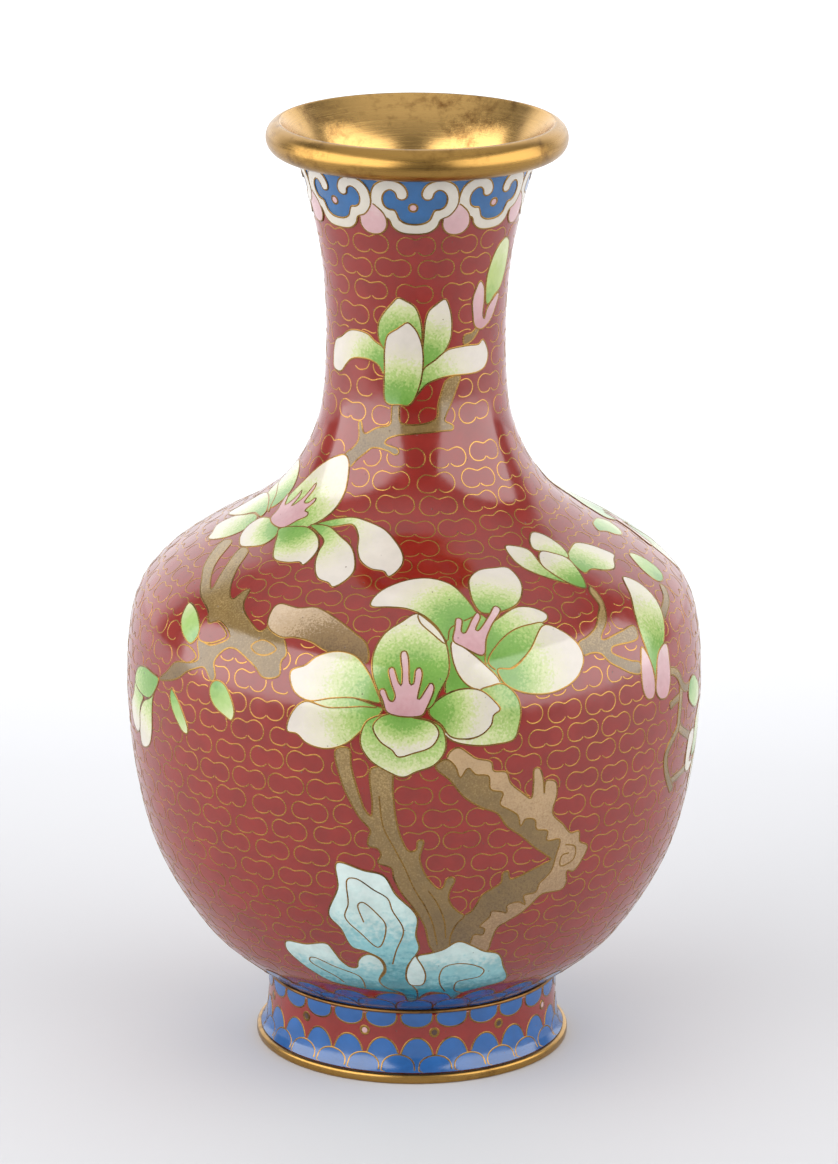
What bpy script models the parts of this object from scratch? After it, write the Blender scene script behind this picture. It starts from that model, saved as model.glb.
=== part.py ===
"""A cloisonne vase, 203 mm high, as the pieces that it is made of.

Two spun copper shells, a copper foot skirt and brass rings carry glass enamel. Each field of enamel is a
thin sheet of its own, cut to the outline of its cell, with a gap the width of a wire to its neighbours.
Metres, +Z up. The origin is the centre of the foot's underside, and the middle of the picture faces -Y.
"""

import math

import bmesh
import bpy
from mathutils import Vector
from mathutils.geometry import delaunay_2d_cdt

MM = 0.001

# The body's outside, measured on the enamel
FOOT_HEIGHT = 0.0163  # underside of the foot to the seam with the belly
BELLY_RISE = 0.0630  # seam to the widest circle
SHOULDER_RISE = 0.0747  # widest circle to the throat
NECK_RISE = 0.0418  # throat to the enamel's upper edge
SEAM_RADIUS = 0.0316
BELLY_RADIUS = 0.0617
THROAT_RADIUS = 0.01905
LIP_RADIUS = 0.0251

# Thicknesses of the layers, and the gap between two pieces that lie against each other
COPPER_WALL = 0.0012
ENAMEL_DEPTH = 0.0009
ENAMEL_BED = 0.0004  # from the enamel's underside to the copper
LINING_DEPTH = 0.0006
CLEARANCE = 0.0003
WIRE_WIDTH = 0.0003

# Brass
MOUTH_TUBE_RADIUS = 0.0034
LIP_LENGTH = 0.0022  # copper that stands past the enamel, inside the mouth ring
SEAM_WIRE_RADIUS = 0.00045
FOOT_RIM_HEIGHT = 0.0021
FOOT_RIM_WIDTH = 0.0042
FOOT_RADIUS = 0.0340  # the brass rim under the foot
FOOT_WAIST = 0.0003  # how far the foot's enamel draws in below the seam
FOOT_FLARE = 0.0017  # how far it spreads again above the rim
FLANGE_WIDTH = 0.0060  # the skirt's inward flange, which carries the bowl

# The ornament
SCALLOPS = 26
SCALLOP_START = -5.9  # degrees, the middle of one scallop of the belly band
HEADS = 8
HEAD_START = -1.0  # degrees, the middle of the front head
SEGMENTS = 32
LONGEST_TURN = 7.0  # degrees that one straight side of a sheet may span
LONGEST_RISE = 9.5  # millimetres
POCKETS = 4  # areas of red that stems and petals close off, counted from the largest

# The picture is drawn flat: degrees round the body, and millimetres along its outline from the seam.
DRAWING_LENGTH = 208.4

# Rise and swell of each stretch of the body's outline, as shares of that stretch
BELLY_CURVE = ((0, 0), (0.085, 0.245), (0.19, 0.475), (0.50, 0.835), (1, 1))
SHOULDER_CURVE = (
    (0.27, 0.952), (0.36, 0.845), (0.445, 0.648), (0.53, 0.388), (0.62, 0.195), (0.79, 0.0405),
)
NECK_CURVE = ((0, 0), (0.42, 0.115), (0.72, 0.48), (1, 1))

# Millimetres along the drawing where the shells and the sheets have a ring of corners
RINGS = (
    13, 27, 41, 55, 69, 79, 89, 99, 109, 118, 126, 134, 138, 142, 146, 150, 155, 160, 172, 184, 196,
)
FIRST_RING = 0.6
SHELL_JOINT = 73.0  # the lower and the upper shell meet at the widest circle
LINING_TOP = 172.0
LINING_RINGS = (13, 41, 69, 89, 109, 118, 126, 134, 138, 142, 146, 150, 155, 160)
FOOT_RINGS = (1.1, 3.4, 7.6)


def smooth_line(corners, steps):
    """Points along a centripetal Catmull-Rom curve through the corners, with steps points to each span."""
    first = 2 * Vector(corners[0]) - Vector(corners[1])
    last = 2 * Vector(corners[-1]) - Vector(corners[-2])
    line = [first, *map(Vector, corners), last]
    points = []
    for a, b, c, d in zip(line, line[1:], line[2:], line[3:]):
        points += [span_point(a, b, c, d, step / steps) for step in range(steps)]
    return [*points, line[-2]]


def smooth_loop(corners, steps):
    """The same curve closed to a loop."""
    loop = [Vector(corner) for corner in corners]
    count = len(loop)
    points = []
    for i in range(count):
        span = [loop[(i + shift) % count] for shift in (-1, 0, 1, 2)]
        points += [span_point(*span, step / steps) for step in range(steps)]
    return [tuple(point) for point in points]


def span_point(a, b, c, d, share):
    """The point at this share of the span from b to c, of the curve that passes a, b, c and d."""
    ta = 0.0
    tb = ta + math.sqrt((b - a).length)
    tc = tb + math.sqrt((c - b).length)
    td = tc + math.sqrt((d - c).length)
    t = tb + share * (tc - tb)
    ab = a.lerp(b, (t - ta) / (tb - ta))
    bc = b.lerp(c, (t - tb) / (tc - tb))
    cd = c.lerp(d, (t - tc) / (td - tc))
    return ab.lerp(bc, (t - ta) / (tc - ta)).lerp(bc.lerp(cd, (t - tb) / (td - tb)), share)


class Outline:
    """One side of a turned shape, read by the length along it from its lower end."""

    def __init__(self, corners, level_depth=False):
        self.level_depth = level_depth
        self.points = smooth_line(corners, 24)
        self.lengths = [0.0]
        for start, end in zip(self.points, self.points[1:]):
            self.lengths.append(self.lengths[-1] + (end - start).length)

    def at(self, share, depth=0.0):
        """(radius, height) at a share of the whole length, moved inwards by depth.

        Depth is measured square to the outline or, with level_depth, towards the axis.
        """
        length = min(max(share, 0.0), 1.0) * self.lengths[-1]
        index = 0
        while index < len(self.points) - 2 and self.lengths[index + 1] < length:
            index += 1
        start = self.points[index]
        end = self.points[index + 1]
        reached = (length - self.lengths[index]) / (end - start).length
        before = self.points[max(index - 1, 0)]
        after = self.points[min(index + 2, len(self.points) - 1)]
        along = (after - before).normalized()
        point = start.lerp(end, reached)
        inwards = Vector((-1, 0)) if self.level_depth else Vector((-along.y, along.x))
        return point + depth * inwards


def stretch(curve, low, high, inner, outer):
    """Corners (radius, height) of one stretch, from its shares of rise and swell."""
    return [(inner + swell * (outer - inner), low + rise * (high - low)) for rise, swell in curve]


BELLY_HEIGHT = FOOT_HEIGHT + BELLY_RISE
THROAT_HEIGHT = BELLY_HEIGHT + SHOULDER_RISE
LIP_HEIGHT = THROAT_HEIGHT + NECK_RISE
BODY = Outline(
    stretch(BELLY_CURVE, FOOT_HEIGHT, BELLY_HEIGHT, SEAM_RADIUS, BELLY_RADIUS)
    + stretch(SHOULDER_CURVE, BELLY_HEIGHT, THROAT_HEIGHT, THROAT_RADIUS, BELLY_RADIUS)
    + stretch(NECK_CURVE, THROAT_HEIGHT, LIP_HEIGHT, THROAT_RADIUS, LIP_RADIUS)
)
FOOT_TOP = FOOT_HEIGHT - 2 * SEAM_WIRE_RADIUS - CLEARANCE
FOOT_BOTTOM = FOOT_RIM_HEIGHT + CLEARANCE
FOOT_CURVE = ((0, 1), (0.085, 0.55), (0.28, 0.2), (0.6, 0), (1, 0))
WAIST_RADIUS = SEAM_RADIUS - FOOT_WAIST
FOOT = Outline(stretch(FOOT_CURVE, FOOT_BOTTOM, FOOT_TOP, WAIST_RADIUS, WAIST_RADIUS + FOOT_FLARE), True)
COPPER_DEPTH = ENAMEL_DEPTH + ENAMEL_BED
COPPER_INSIDE = COPPER_DEPTH + COPPER_WALL
LINING_OUTSIDE = COPPER_INSIDE + CLEARANCE
LINING_INSIDE = LINING_OUTSIDE + LINING_DEPTH


def material(name, colour, roughness, metallic):
    made = bpy.data.materials.new(name)
    made.use_nodes = True
    shader = made.node_tree.nodes["Principled BSDF"]
    shader.inputs["Base Color"].default_value = (*colour, 1)
    shader.inputs["Roughness"].default_value = roughness
    shader.inputs["Metallic"].default_value = metallic
    made.diffuse_color = (*colour, 1)
    return made


def add_object(name, bm, finish):
    bmesh.ops.recalc_face_normals(bm, faces=bm.faces)
    mesh = bpy.data.meshes.new(name)
    bm.to_mesh(mesh)
    bm.free()
    mesh.shade_smooth()
    mesh.set_sharp_from_angle(angle=math.radians(35))
    mesh.materials.append(finish)
    made = bpy.data.objects.new(name, mesh)
    bpy.context.scene.collection.objects.link(made)
    return made


def turned(name, section, finish):
    """A turned piece: the section, a closed loop of (radius, height), spun once round Z."""
    bm = bmesh.new()
    corners = [bm.verts.new((0, -radius, height)) for radius, height in section]
    for start, end in zip(corners, corners[1:] + corners[:1]):
        if start.co.y or end.co.y:
            bm.edges.new((start, end))
    bmesh.ops.spin(
        bm, geom=bm.verts[:] + bm.edges[:], cent=(0, 0, 0), axis=(0, 0, 1), angle=math.tau, steps=SEGMENTS
    )
    bmesh.ops.remove_doubles(bm, verts=bm.verts, dist=1e-6)
    return add_object(name, bm, finish)


def wall(stations, outside, inside):
    """The section of a shell: down its outer side and up its inner side, at these places along the body."""
    shares = [station / DRAWING_LENGTH for station in stations]
    outer = [tuple(BODY.at(share, outside)) for share in reversed(shares)]
    return outer + [tuple(BODY.at(share, inside)) for share in shares]


def make_metal(copper, brass, gilt, lining_glass):
    """The shells, the skirt and the rings."""
    half_gap = CLEARANCE / MM / 2
    lower = [FIRST_RING, *(ring for ring in RINGS if ring < SHELL_JOINT), SHELL_JOINT - half_gap]
    floor = FOOT_HEIGHT - CLEARANCE
    section = wall(lower, COPPER_DEPTH, COPPER_INSIDE)
    outside = section[: len(lower)]
    inside = section[len(lower) :]
    bottom = [(outside[-1][0] - COPPER_WALL, floor), (0, floor), (0, floor + COPPER_WALL)]
    corner = (inside[0][0] - COPPER_WALL, floor + COPPER_WALL)
    turned("lower_body_shell", [*outside, *bottom, corner, *inside], copper)

    upper = [SHELL_JOINT + half_gap, *(ring for ring in RINGS if ring > SHELL_JOINT), DRAWING_LENGTH]
    section = wall(upper, COPPER_DEPTH, COPPER_INSIDE)
    lip = LIP_RADIUS - CLEARANCE
    top = LIP_HEIGHT + LIP_LENGTH
    turned("upper_body_shell", [(lip - COPPER_WALL, top), (lip, top), *section], gilt)

    lining = [FIRST_RING, *LINING_RINGS, LINING_TOP]
    section = wall(lining, LINING_OUTSIDE, LINING_INSIDE)
    outside = section[: len(lining)]
    inside = section[len(lining) :]
    pool = floor + COPPER_WALL + CLEARANCE
    centre = [(0, pool), (0, pool + LINING_DEPTH)]
    edge = corner[0] - CLEARANCE
    return_edge = (edge - LINING_DEPTH, pool + LINING_DEPTH)
    turned("counter_enamel", [*outside, (edge, pool), *centre, return_edge, *inside], lining_glass)

    skirt_shares = (1.0, 0.6, 0.2, 0.0)
    outer = [tuple(FOOT.at(share, COPPER_DEPTH)) for share in skirt_shares]
    inner = [tuple(FOOT.at(share, COPPER_INSIDE)) for share in reversed(skirt_shares[1:])]
    flange_top = floor - CLEARANCE
    flange_under = flange_top - COPPER_WALL
    flange_edge = outer[0][0] - FLANGE_WIDTH
    outer[0] = (outer[0][0], flange_top)
    flange = [(inner[-1][0], flange_under), (flange_edge, flange_under), (flange_edge, flange_top)]
    turned("foot_skirt", [*outer, *inner, *flange], copper)

    disc = flange_edge - CLEARANCE
    disc_under = flange_top - ENAMEL_DEPTH
    base = [(disc, flange_top), (disc, disc_under), (0, disc_under), (0, flange_top)]
    turned("base_enamel", base, lining_glass)

    shoulder = FOOT_RIM_HEIGHT / 3
    bevel = shoulder / 2
    inner_edge = FOOT_RADIUS - FOOT_RIM_WIDTH
    rim = [
        (inner_edge, FOOT_RIM_HEIGHT),
        (FOOT_RADIUS - bevel, FOOT_RIM_HEIGHT),
        (FOOT_RADIUS, FOOT_RIM_HEIGHT - shoulder),
        (FOOT_RADIUS, shoulder),
        (FOOT_RADIUS - bevel, 0),
        (inner_edge, 0),
    ]
    turned("foot_rim", rim, brass)

    wire_height = FOOT_TOP + CLEARANCE / 2 + SEAM_WIRE_RADIUS
    turned("seam_wire", circle(SEAM_RADIUS, wire_height, SEAM_WIRE_RADIUS, 0, 300, 6), gilt)

    mouth_radius = LIP_RADIUS + MOUTH_TUBE_RADIUS
    mouth_height = top + MOUTH_TUBE_RADIUS / 2
    # The ring is a roll outside only: from its crown a funnel runs straight down to the lip.
    ring = circle(mouth_radius, mouth_height, MOUTH_TUBE_RADIUS, -110, 90, 7)
    seat = [(LIP_RADIUS, top), (LIP_RADIUS, LIP_HEIGHT + CLEARANCE)]
    turned("mouth_ring", [*ring, *seat], brass)


def circle(radius, height, size, start, end, count):
    """Points of a circular section, from one angle to another in degrees, 0 pointing outwards."""
    angles = [math.radians(start + (end - start) * step / (count - 1)) for step in range(count)]
    return [(radius + size * math.cos(angle), height + size * math.sin(angle)) for angle in angles]


# Outlines of the picture, each a loop of (degrees, millimetres), drawn front to back
ROCK_TALL = (
    (-15.3, 52), (-6, 49.6), (-3.5, 45), (1, 39.5), (0.7, 34), (1.5, 29.5), (-1.2, 24), (-1.5, 19),
    (1.2, 14), (1.2, 4), (-7, 4), (-8.7, 18), (-6.7, 22), (-7.3, 26), (-14, 29.5), (-18.2, 38.5),
    (-15.5, 46),
)
ROCK_LEFT = (
    (-31, 28.3), (-20.3, 29.6), (-15.5, 22.3), (-11.5, 27), (-8, 26), (-6, 20), (-8.8, 18), (-4, 4),
    (-14, 8), (-19, 14.5), (-27, 18.5), (-32.2, 25),
)
ROCK_RIGHT = (
    (0, 27), (7, 29.3), (10.5, 31.7), (17, 28), (21.2, 26.4), (26.4, 17), (22, 14.2), (15, 11.5),
    (12, 4), (-1, 4),
)
TRUNK_MAIN = (
    (0, 27), (1, 37), (-2, 45), (-4.3, 51.5), (-7, 53), (-8.8, 57.5), (-12.5, 67), (-15, 79),
    (-12.3, 79), (-10.5, 68), (-8.2, 63.3), (-8, 78), (-4.2, 78), (-3.5, 64), (-0.8, 55.5), (1, 58.2),
    (2, 51), (5.5, 46.3), (7, 49), (8.4, 48.8), (7.5, 44), (11, 39.2), (8.4, 34), (8.2, 26),
)
TRUNK_HEART = (
    (8, 26), (8.6, 34), (11, 39.2), (14.5, 44.3), (18.3, 47), (19, 49.7), (20.2, 47.7), (28.3, 50.6),
    (22, 57.5), (16.5, 63.5), (10, 67.5), (4.2, 74.5), (6.5, 79), (8.5, 73.5), (12, 73), (14.5, 69.5),
    (17.3, 66), (21, 61.5), (25, 60), (27.5, 56.5), (30.5, 54), (30, 50.5), (27, 46.5), (23.5, 42.5),
    (20.3, 40), (17, 39), (15, 34.5), (13.3, 26),
)
TRUNK_BARK = (
    (10, 26), (12, 38), (27, 49), (22, 58), (8, 72), (5, 78), (9, 78.6), (15, 75), (19, 70), (23.4, 66),
    (24, 72.6), (26, 69), (28.5, 69.4), (28.4, 62), (33, 56.5), (35.3, 56), (37.7, 52), (33.5, 44),
    (28, 42.6), (19, 35), (17.8, 26),
)
BRANCH_LEFT = (
    (-75, 118), (-66, 109), (-54, 102), (-46, 100), (-42, 97), (-46, 94.3), (-52, 95), (-49, 90.5),
    (-58, 85.5), (-62, 83), (-53.5, 85.5), (-46, 89.6), (-42.5, 86), (-43, 92), (-39, 95.2),
    (-31, 90.6), (-27.5, 92), (-26.8, 99), (-22, 99.5), (-9, 94), (-10, 100.5), (-18, 105.7),
    (-24, 107.8), (-34, 106.5), (-33.4, 101), (-42, 105), (-44.5, 109), (-46.5, 105.5), (-57, 119),
)
BRANCH_NECK = (
    (-43, 146.5), (-35, 150), (-36.5, 153.8), (-32, 151.6), (-15.5, 154), (-14.3, 160), (-10.5, 160),
    (-9, 154.5), (10, 154.8), (20, 165), (30, 165), (18, 154.8), (23.5, 153.5), (8, 152.5),
    (-17, 150.8), (-9.5, 148.4), (-25, 148.8), (-38, 143.5),
)
BRANCH_RIGHT = (
    (47, 111), (46.5, 104.5), (42, 100), (34, 97.5), (34, 94.8), (40.5, 94.3), (51, 87.5), (51.5, 90),
    (43.5, 94), (44, 95), (54, 95), (54, 98), (42.3, 97.2), (47.5, 103.5), (48.5, 111),
)
MAGNOLIA_CENTRE = (
    (-25, 92), (-16, 98), (-9, 95), (-7, 102), (0.8, 107.8), (6.8, 100), (6, 91), (13, 90.7), (18, 91),
    (21, 85), (19, 79.5), (10, 79.3), (4, 75), (-2, 72.3), (-9, 76.5), (-11, 80.5), (-17, 77.5),
    (-24.5, 80.3), (-23, 87),
)
MAGNOLIA_BEHIND = (
    (-10.7, 110.5), (-5, 116), (3, 117.7), (12, 113.5), (15.5, 117.5), (24, 119.5), (29.3, 116),
    (26.5, 109), (31.2, 105), (35.8, 97), (34, 90.3), (26, 88.3), (17, 90), (4, 92), (3, 106),
    (-5, 109.6),
)
MAGNOLIA_LEFT = (
    (-98, 134), (-88, 140.3), (-72, 137), (-62, 141), (-50, 145.5), (-39, 145.5), (-35, 138.5),
    (-39, 132), (-26, 133.2), (-11, 130.7), (-4, 123), (-8, 118.3), (-17.5, 121.5), (-22, 114),
    (-31, 119.3), (-45, 118.3), (-54, 122.5), (-62, 118.3), (-71, 121), (-79, 114.8), (-90, 118),
    (-97, 125),
)
MAGNOLIA_NECK = (
    (-65, 166), (-58, 163.2), (-48, 166), (-35, 167.5), (-22, 165), (-18.5, 159), (-8, 158), (3, 161.5),
    (20, 164.3), (45, 164.3), (52.5, 167.3), (46, 171), (20, 170), (22, 177), (18, 181), (7, 178),
    (-2, 180), (-12, 181.2), (-23, 176.5), (-24, 171.5), (-40, 173.2), (-58, 170.5),
)
MAGNOLIA_RIGHT = (
    (32.3, 120), (34.5, 125), (40, 125.5), (45.5, 127.5), (51.5, 124.5), (53, 119.5), (61, 120.6),
    (68, 114.3), (61, 111.2), (52, 113.5), (46.5, 109.3), (38, 113.5),
)
MAGNOLIA_EAST = ((72, 62), (74, 70), (82, 77), (93, 79), (102, 72), (104, 62), (97, 54), (86, 52), (77, 55))
MAGNOLIA_BACK = (
    (146, 88), (152, 98), (165, 103), (176, 99), (186, 95), (190, 86), (184, 76), (172, 71), (158, 73),
    (150, 79),
)
BRANCH_BACK = (
    (172, 40), (166, 52), (168, 64), (170, 76), (175, 76), (173, 63), (171, 53), (178, 42), (192, 30),
    (186, 28),
)
BUD_RIGHT = (
    (61.7, 108.7), (56, 102), (53.3, 95), (51.5, 91.5), (51, 85), (53, 81.6), (57, 80.5), (60.7, 82),
    (61.4, 91), (65.6, 102),
)
BUD_LEFT = (
    (-61, 83), (-68, 83.8), (-73.5, 79.5), (-77, 72), (-73, 67.8), (-69, 65.6), (-64.5, 69), (-63, 78),
)
BUD_NECK = (
    (45, 173.2), (55, 175), (63.5, 180.5), (70, 188), (61, 192.5), (51, 188.5), (47.3, 182.3), (42.5, 184),
    (37.3, 179.5), (39, 174.5),
)


# Corners of a leaf, as shares of half its length and of half its width
LEAF_CORNERS = (
    (1, 0), (0.5, 0.8), (-0.2, 1), (-0.75, 0.6), (-1, 0), (-0.75, -0.6), (-0.2, -1), (0.5, -0.8),
)


def leaf(angle, height, length, width, lean):
    """A pointed oval about the given place, its length leaning from the vertical by lean degrees."""
    turn = math.radians(lean)
    spread = math.degrees(MM / BODY.at(height / DRAWING_LENGTH)[0])
    outline = []
    for along, across in LEAF_CORNERS:
        right = along * length / 2 * math.sin(turn) + across * width / 2 * math.cos(turn)
        up = along * length / 2 * math.cos(turn) - across * width / 2 * math.sin(turn)
        outline.append((angle + right * spread, height + up))
    return outline


LEAVES = (
    leaf(-54.3, 97.4, 10.5, 4.5, 135),
    leaf(-40.7, 84.2, 9, 5, 140),
    leaf(-52.8, 78.5, 9.6, 3, 146),
    leaf(75.3, 107.2, 9.2, 6.8, 5),
    leaf(75, 77, 10.5, 5.4, 118),
    leaf(85, 118.6, 13, 5.5, 75),
)


def head(middle):
    """A ruyi head: a thick C-shaped scroll, open at the top, whose two ends curl inwards."""
    right = (
        (8, 196.2), (12.8, 198.8), (19, 200.4), (22.4, 203.4), (19.5, 206.6), (12, 207.8), (4.6, 206.6),
        (4.2, 204), (8.8, 204.2), (11, 205.8), (15.5, 204.8), (15, 202), (10.2, 201), (7, 198.4),
    )
    loop = [(0, 195.8), *right, (0, 197.9), *((-across, up) for across, up in reversed(right))]
    return [(middle + across, up) for across, up in loop]


# The drop's middle along the drawing, half its width in degrees, and half its rise
DROP_LEVEL = 198.2
DROP_HALF = 6.2
DROP_RISE = 3.2


def drop(middle):
    """A pink drop that hangs between two heads."""
    turns = [math.tau * step / 10 for step in range(10)]
    across = [DROP_HALF * math.sin(turn) for turn in turns]
    up = [DROP_RISE * math.cos(turn) for turn in turns]
    return [(middle + x, DROP_LEVEL + y) for x, y in zip(across, up)]


# Each scallop band: the middle of one scallop, its valleys, its crowns, and its straight edge
BELLY_SCALLOPS = (SCALLOP_START, 8.0, 11.8, -3.0)
UPPER_FOOT_SCALLOPS = (1.8, 10.9, 8.6)
LOWER_FOOT_SCALLOPS = (2.4, 3.0, 5.6)
BAND_OVERLAP = 2.0
FOOT_GROUND_LEVEL = 7.0  # any level between the foot's two bands


def scallop_band(middle, valley, peak, base):
    """A band round the whole body whose edge is a row of arcs; base is the level of its straight edge."""
    pitch = 360 / SCALLOPS
    edge = []
    for number in range(-2, SCALLOPS + 2):
        for across in (-1, -0.5, 0.5):
            rise = 1 - across**4
            angle = -180 + middle % pitch + (number + across / 2) * pitch
            edge.append((angle, valley + rise * (peak - valley)))
    return [*edge, (edge[-1][0], base), (edge[0][0], base)]


def divided(loop):
    """The loop with its long sides divided, so that each follows the round surface."""
    points = []
    for start, end in zip(loop, loop[1:] + loop[:1]):
        across = end[0] - start[0]
        up = end[1] - start[1]
        count = max(1, math.ceil(abs(across) / LONGEST_TURN), math.ceil(abs(up) / LONGEST_RISE))
        points += [(start[0] + across * i / count, start[1] + up * i / count) for i in range(count)]
    return points


def anticlockwise(loop):
    area = sum(a[0] * b[1] - b[0] * a[1] for a, b in zip(loop, loop[1:] + loop[:1]))
    return loop if area > 0 else loop[::-1]


def offset(loop, distance, field):
    """The loop with each corner moved outwards by a distance in millimetres on the surface."""
    moved = []
    for before, corner, after in zip(loop[-1:] + loop[:-1], loop, loop[1:] + loop[:1]):
        width = math.radians(field.radius(corner[1])) / MM
        first = Vector(((corner[0] - before[0]) * width, corner[1] - before[1])).normalized()
        second = Vector(((after[0] - corner[0]) * width, after[1] - corner[1])).normalized()
        normal = Vector((first.y + second.y, -first.x - second.x)).normalized()
        step = distance / max(normal.dot(Vector((first.y, -first.x))), 0.5)
        moved.append((corner[0] + normal.x * step / width, corner[1] + normal.y * step))
    return moved


def inside(point, loop):
    x, y = point
    found = False
    for (ax, ay), (bx, by) in zip(loop, loop[1:] + loop[:1]):
        if (ay > y) != (by > y) and x < ax + (y - ay) * (bx - ax) / (by - ay):
            found = not found
    return found


class Field:
    """A turned surface that takes enamel, drawn flat between two levels and full circle."""

    def __init__(self, outline, length, low, high, rings):
        self.outline = outline
        self.length = length
        self.low = low
        self.high = high
        self.rings = [low, *(ring for ring in rings if low < ring < high), high]

    def radius(self, level):
        return self.outline.at(level / self.length)[0]

    def place(self, angle, level, depth):
        radius, height = self.outline.at(level / self.length, depth)
        turn = math.radians(angle)
        return (radius * math.sin(turn), -radius * math.cos(turn), height)

    def triangles(self, loops):
        """The flat field cut into triangles along every loop, as points and corner numbers."""
        points = []
        edges = []
        for loop in loops:
            first = len(points)
            points += loop
            edges += [(first + i, first + (i + 1) % len(loop)) for i in range(len(loop))]
        pitch = 360 / SEGMENTS
        for side in (-180, 180):
            first = len(points)
            points += [(side, ring) for ring in self.rings]
            edges += [(first + i, first + i + 1) for i in range(len(self.rings) - 1)]
        for level in (self.low, self.high):
            first = len(points)
            points += [(-180 + column * pitch, level) for column in range(SEGMENTS + 1)]
            edges += [(first + i, first + i + 1) for i in range(SEGMENTS)]
        for ring in self.rings[1:-1]:
            points += [(-180 + column * pitch, ring) for column in range(1, SEGMENTS)]
        flat = [Vector(point) for point in points]
        cut = delaunay_2d_cdt(flat, edges, [], 0, 1e-5, False)
        return cut[0], [tuple(face) for face in cut[2]]

    def within(self, point):
        return -180 < point[0] < 180 and self.low < point[1] < self.high


def near_copies(loop):
    """The loop, and its copies a full turn away that reach into the drawing."""
    copies = []
    for turn in (-360, 0, 360):
        copy = [(angle + turn, level) for angle, level in loop]
        if min(angle for angle, level in copy) < 181 and max(angle for angle, level in copy) > -181:
            copies.append(copy)
    return copies


def connected(faces, points, field):
    """Groups of triangles that share sides, the largest first. The drawing's two ends are one."""
    keys = [(round(p[0] % 360, 3) % 360, round(p[1], 3)) for p in points]
    owners = {}
    for number, face in enumerate(faces):
        for a, b in zip(face, face[1:] + face[:1]):
            owners.setdefault(frozenset((keys[a], keys[b])), []).append(number)
    joined = {number: [] for number in range(len(faces))}
    for numbers in owners.values():
        for other in numbers[1:]:
            joined[numbers[0]].append(other)
            joined[other].append(numbers[0])
    groups = []
    waiting = set(joined)
    while waiting:
        stack = [waiting.pop()]
        group = []
        while stack:
            number = stack.pop()
            group.append(faces[number])
            for other in joined[number]:
                if other in waiting:
                    waiting.remove(other)
                    stack.append(other)
        groups.append(group)
    return sorted(groups, key=lambda group: -flat_area(group, points, field))


def flat_area(faces, points, field):
    """Square millimetres of surface under these triangles."""
    total = 0.0
    for face in faces:
        a, b, c = (points[corner] for corner in face)
        width = math.radians(field.radius((a + b + c).y / 3)) / MM
        total += width * abs((b - a).cross(c - a)) / 2
    return total


def sheet(name, faces, points, field, finish):
    """A solid sheet of enamel over these triangles, its outer face on the surface."""
    bm = bmesh.new()
    used = sorted({corner for face in faces for corner in face})
    top = {corner: bm.verts.new(field.place(*points[corner], 0.0)) for corner in used}
    under = {corner: bm.verts.new(field.place(*points[corner], ENAMEL_DEPTH)) for corner in used}
    sides = {(a, b) for face in faces for a, b in zip(face, face[1:] + face[:1])}
    for face in faces:
        bm.faces.new([top[corner] for corner in face])
        bm.faces.new([under[corner] for corner in reversed(face)])
    for a, b in sides:
        on_cut = abs(abs(points[a][0]) - 180) < 1e-4 and abs(abs(points[b][0]) - 180) < 1e-4
        if (b, a) not in sides and not on_cut:
            bm.faces.new((top[b], top[a], under[a], under[b]))
    bmesh.ops.remove_doubles(bm, verts=bm.verts, dist=2e-6)
    return add_object(name, bm, finish)


def inlay(field, layers, grounds):
    """Sheets for the layers, each cut by those before it, and for the ground that is left between them.

    A ground is (name, level, finish): the largest free area that reaches the level.
    """
    half = WIRE_WIDTH / MM / 2
    shrunk = []
    grown = []
    for name, loop, finish in layers:
        turned_loop = divided(anticlockwise(list(loop)))
        shrunk.append(near_copies(offset(turned_loop, -half, field)))
        grown.append(near_copies(offset(turned_loop, half, field)))
    points, faces = field.triangles([loop for copies in shrunk + grown for loop in copies])
    kept = {name: [] for name, loop, finish in layers}
    free = []
    for face in faces:
        a, b, c = (points[corner] for corner in face)
        middle = (a + b + c) / 3
        if not field.within(middle) or abs((b - a).cross(c - a)) < 1e-7:
            continue
        for number, (name, loop, finish) in enumerate(layers):
            if any(inside(middle, copy) for copy in grown[number]):
                if any(inside(middle, copy) for copy in shrunk[number]):
                    kept[name].append(face)
                break
        else:
            free.append(face)
    for name, loop, finish in layers:
        sheet(name, connected(kept[name], points, field)[0], points, field, finish)
    areas = connected(free, points, field)
    for name, level, finish in grounds:
        for area in areas:
            levels = [points[corner][1] for face in area for corner in face]
            if min(levels) - 0.01 <= level <= max(levels) + 0.01:
                sheet(name, area, points, field, finish)
                areas.remove(area)
                break
    return [(area, points) for area in areas]


for old in list(bpy.data.objects):
    bpy.data.objects.remove(old)

COPPER = material("copper", (0.55, 0.22, 0.12), 0.45, 1.0)
BRASS = material("brass", (0.62, 0.38, 0.12), 0.35, 1.0)
GILT = material("gilt_copper", (0.70, 0.42, 0.14), 0.30, 1.0)
RED = material("red_enamel", (0.35, 0.016, 0.012), 0.15, 0.0)
BLUE = material("blue_enamel", (0.03, 0.14, 0.42), 0.15, 0.0)
WHITE = material("white_enamel", (0.80, 0.78, 0.70), 0.15, 0.0)
PETAL = material("petal_enamel", (0.78, 0.80, 0.62), 0.15, 0.0)
LEAF = material("leaf_enamel", (0.33, 0.55, 0.22), 0.15, 0.0)
PINK = material("pink_enamel", (0.70, 0.40, 0.50), 0.15, 0.0)
AQUA = material("aqua_enamel", (0.25, 0.58, 0.65), 0.15, 0.0)
BROWN = material("brown_enamel", (0.24, 0.14, 0.05), 0.18, 0.0)
TAN = material("tan_enamel", (0.55, 0.36, 0.24), 0.18, 0.0)
TEAL = material("teal_enamel", (0.02, 0.22, 0.28), 0.20, 0.0)

make_metal(COPPER, BRASS, GILT, TEAL)

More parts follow.
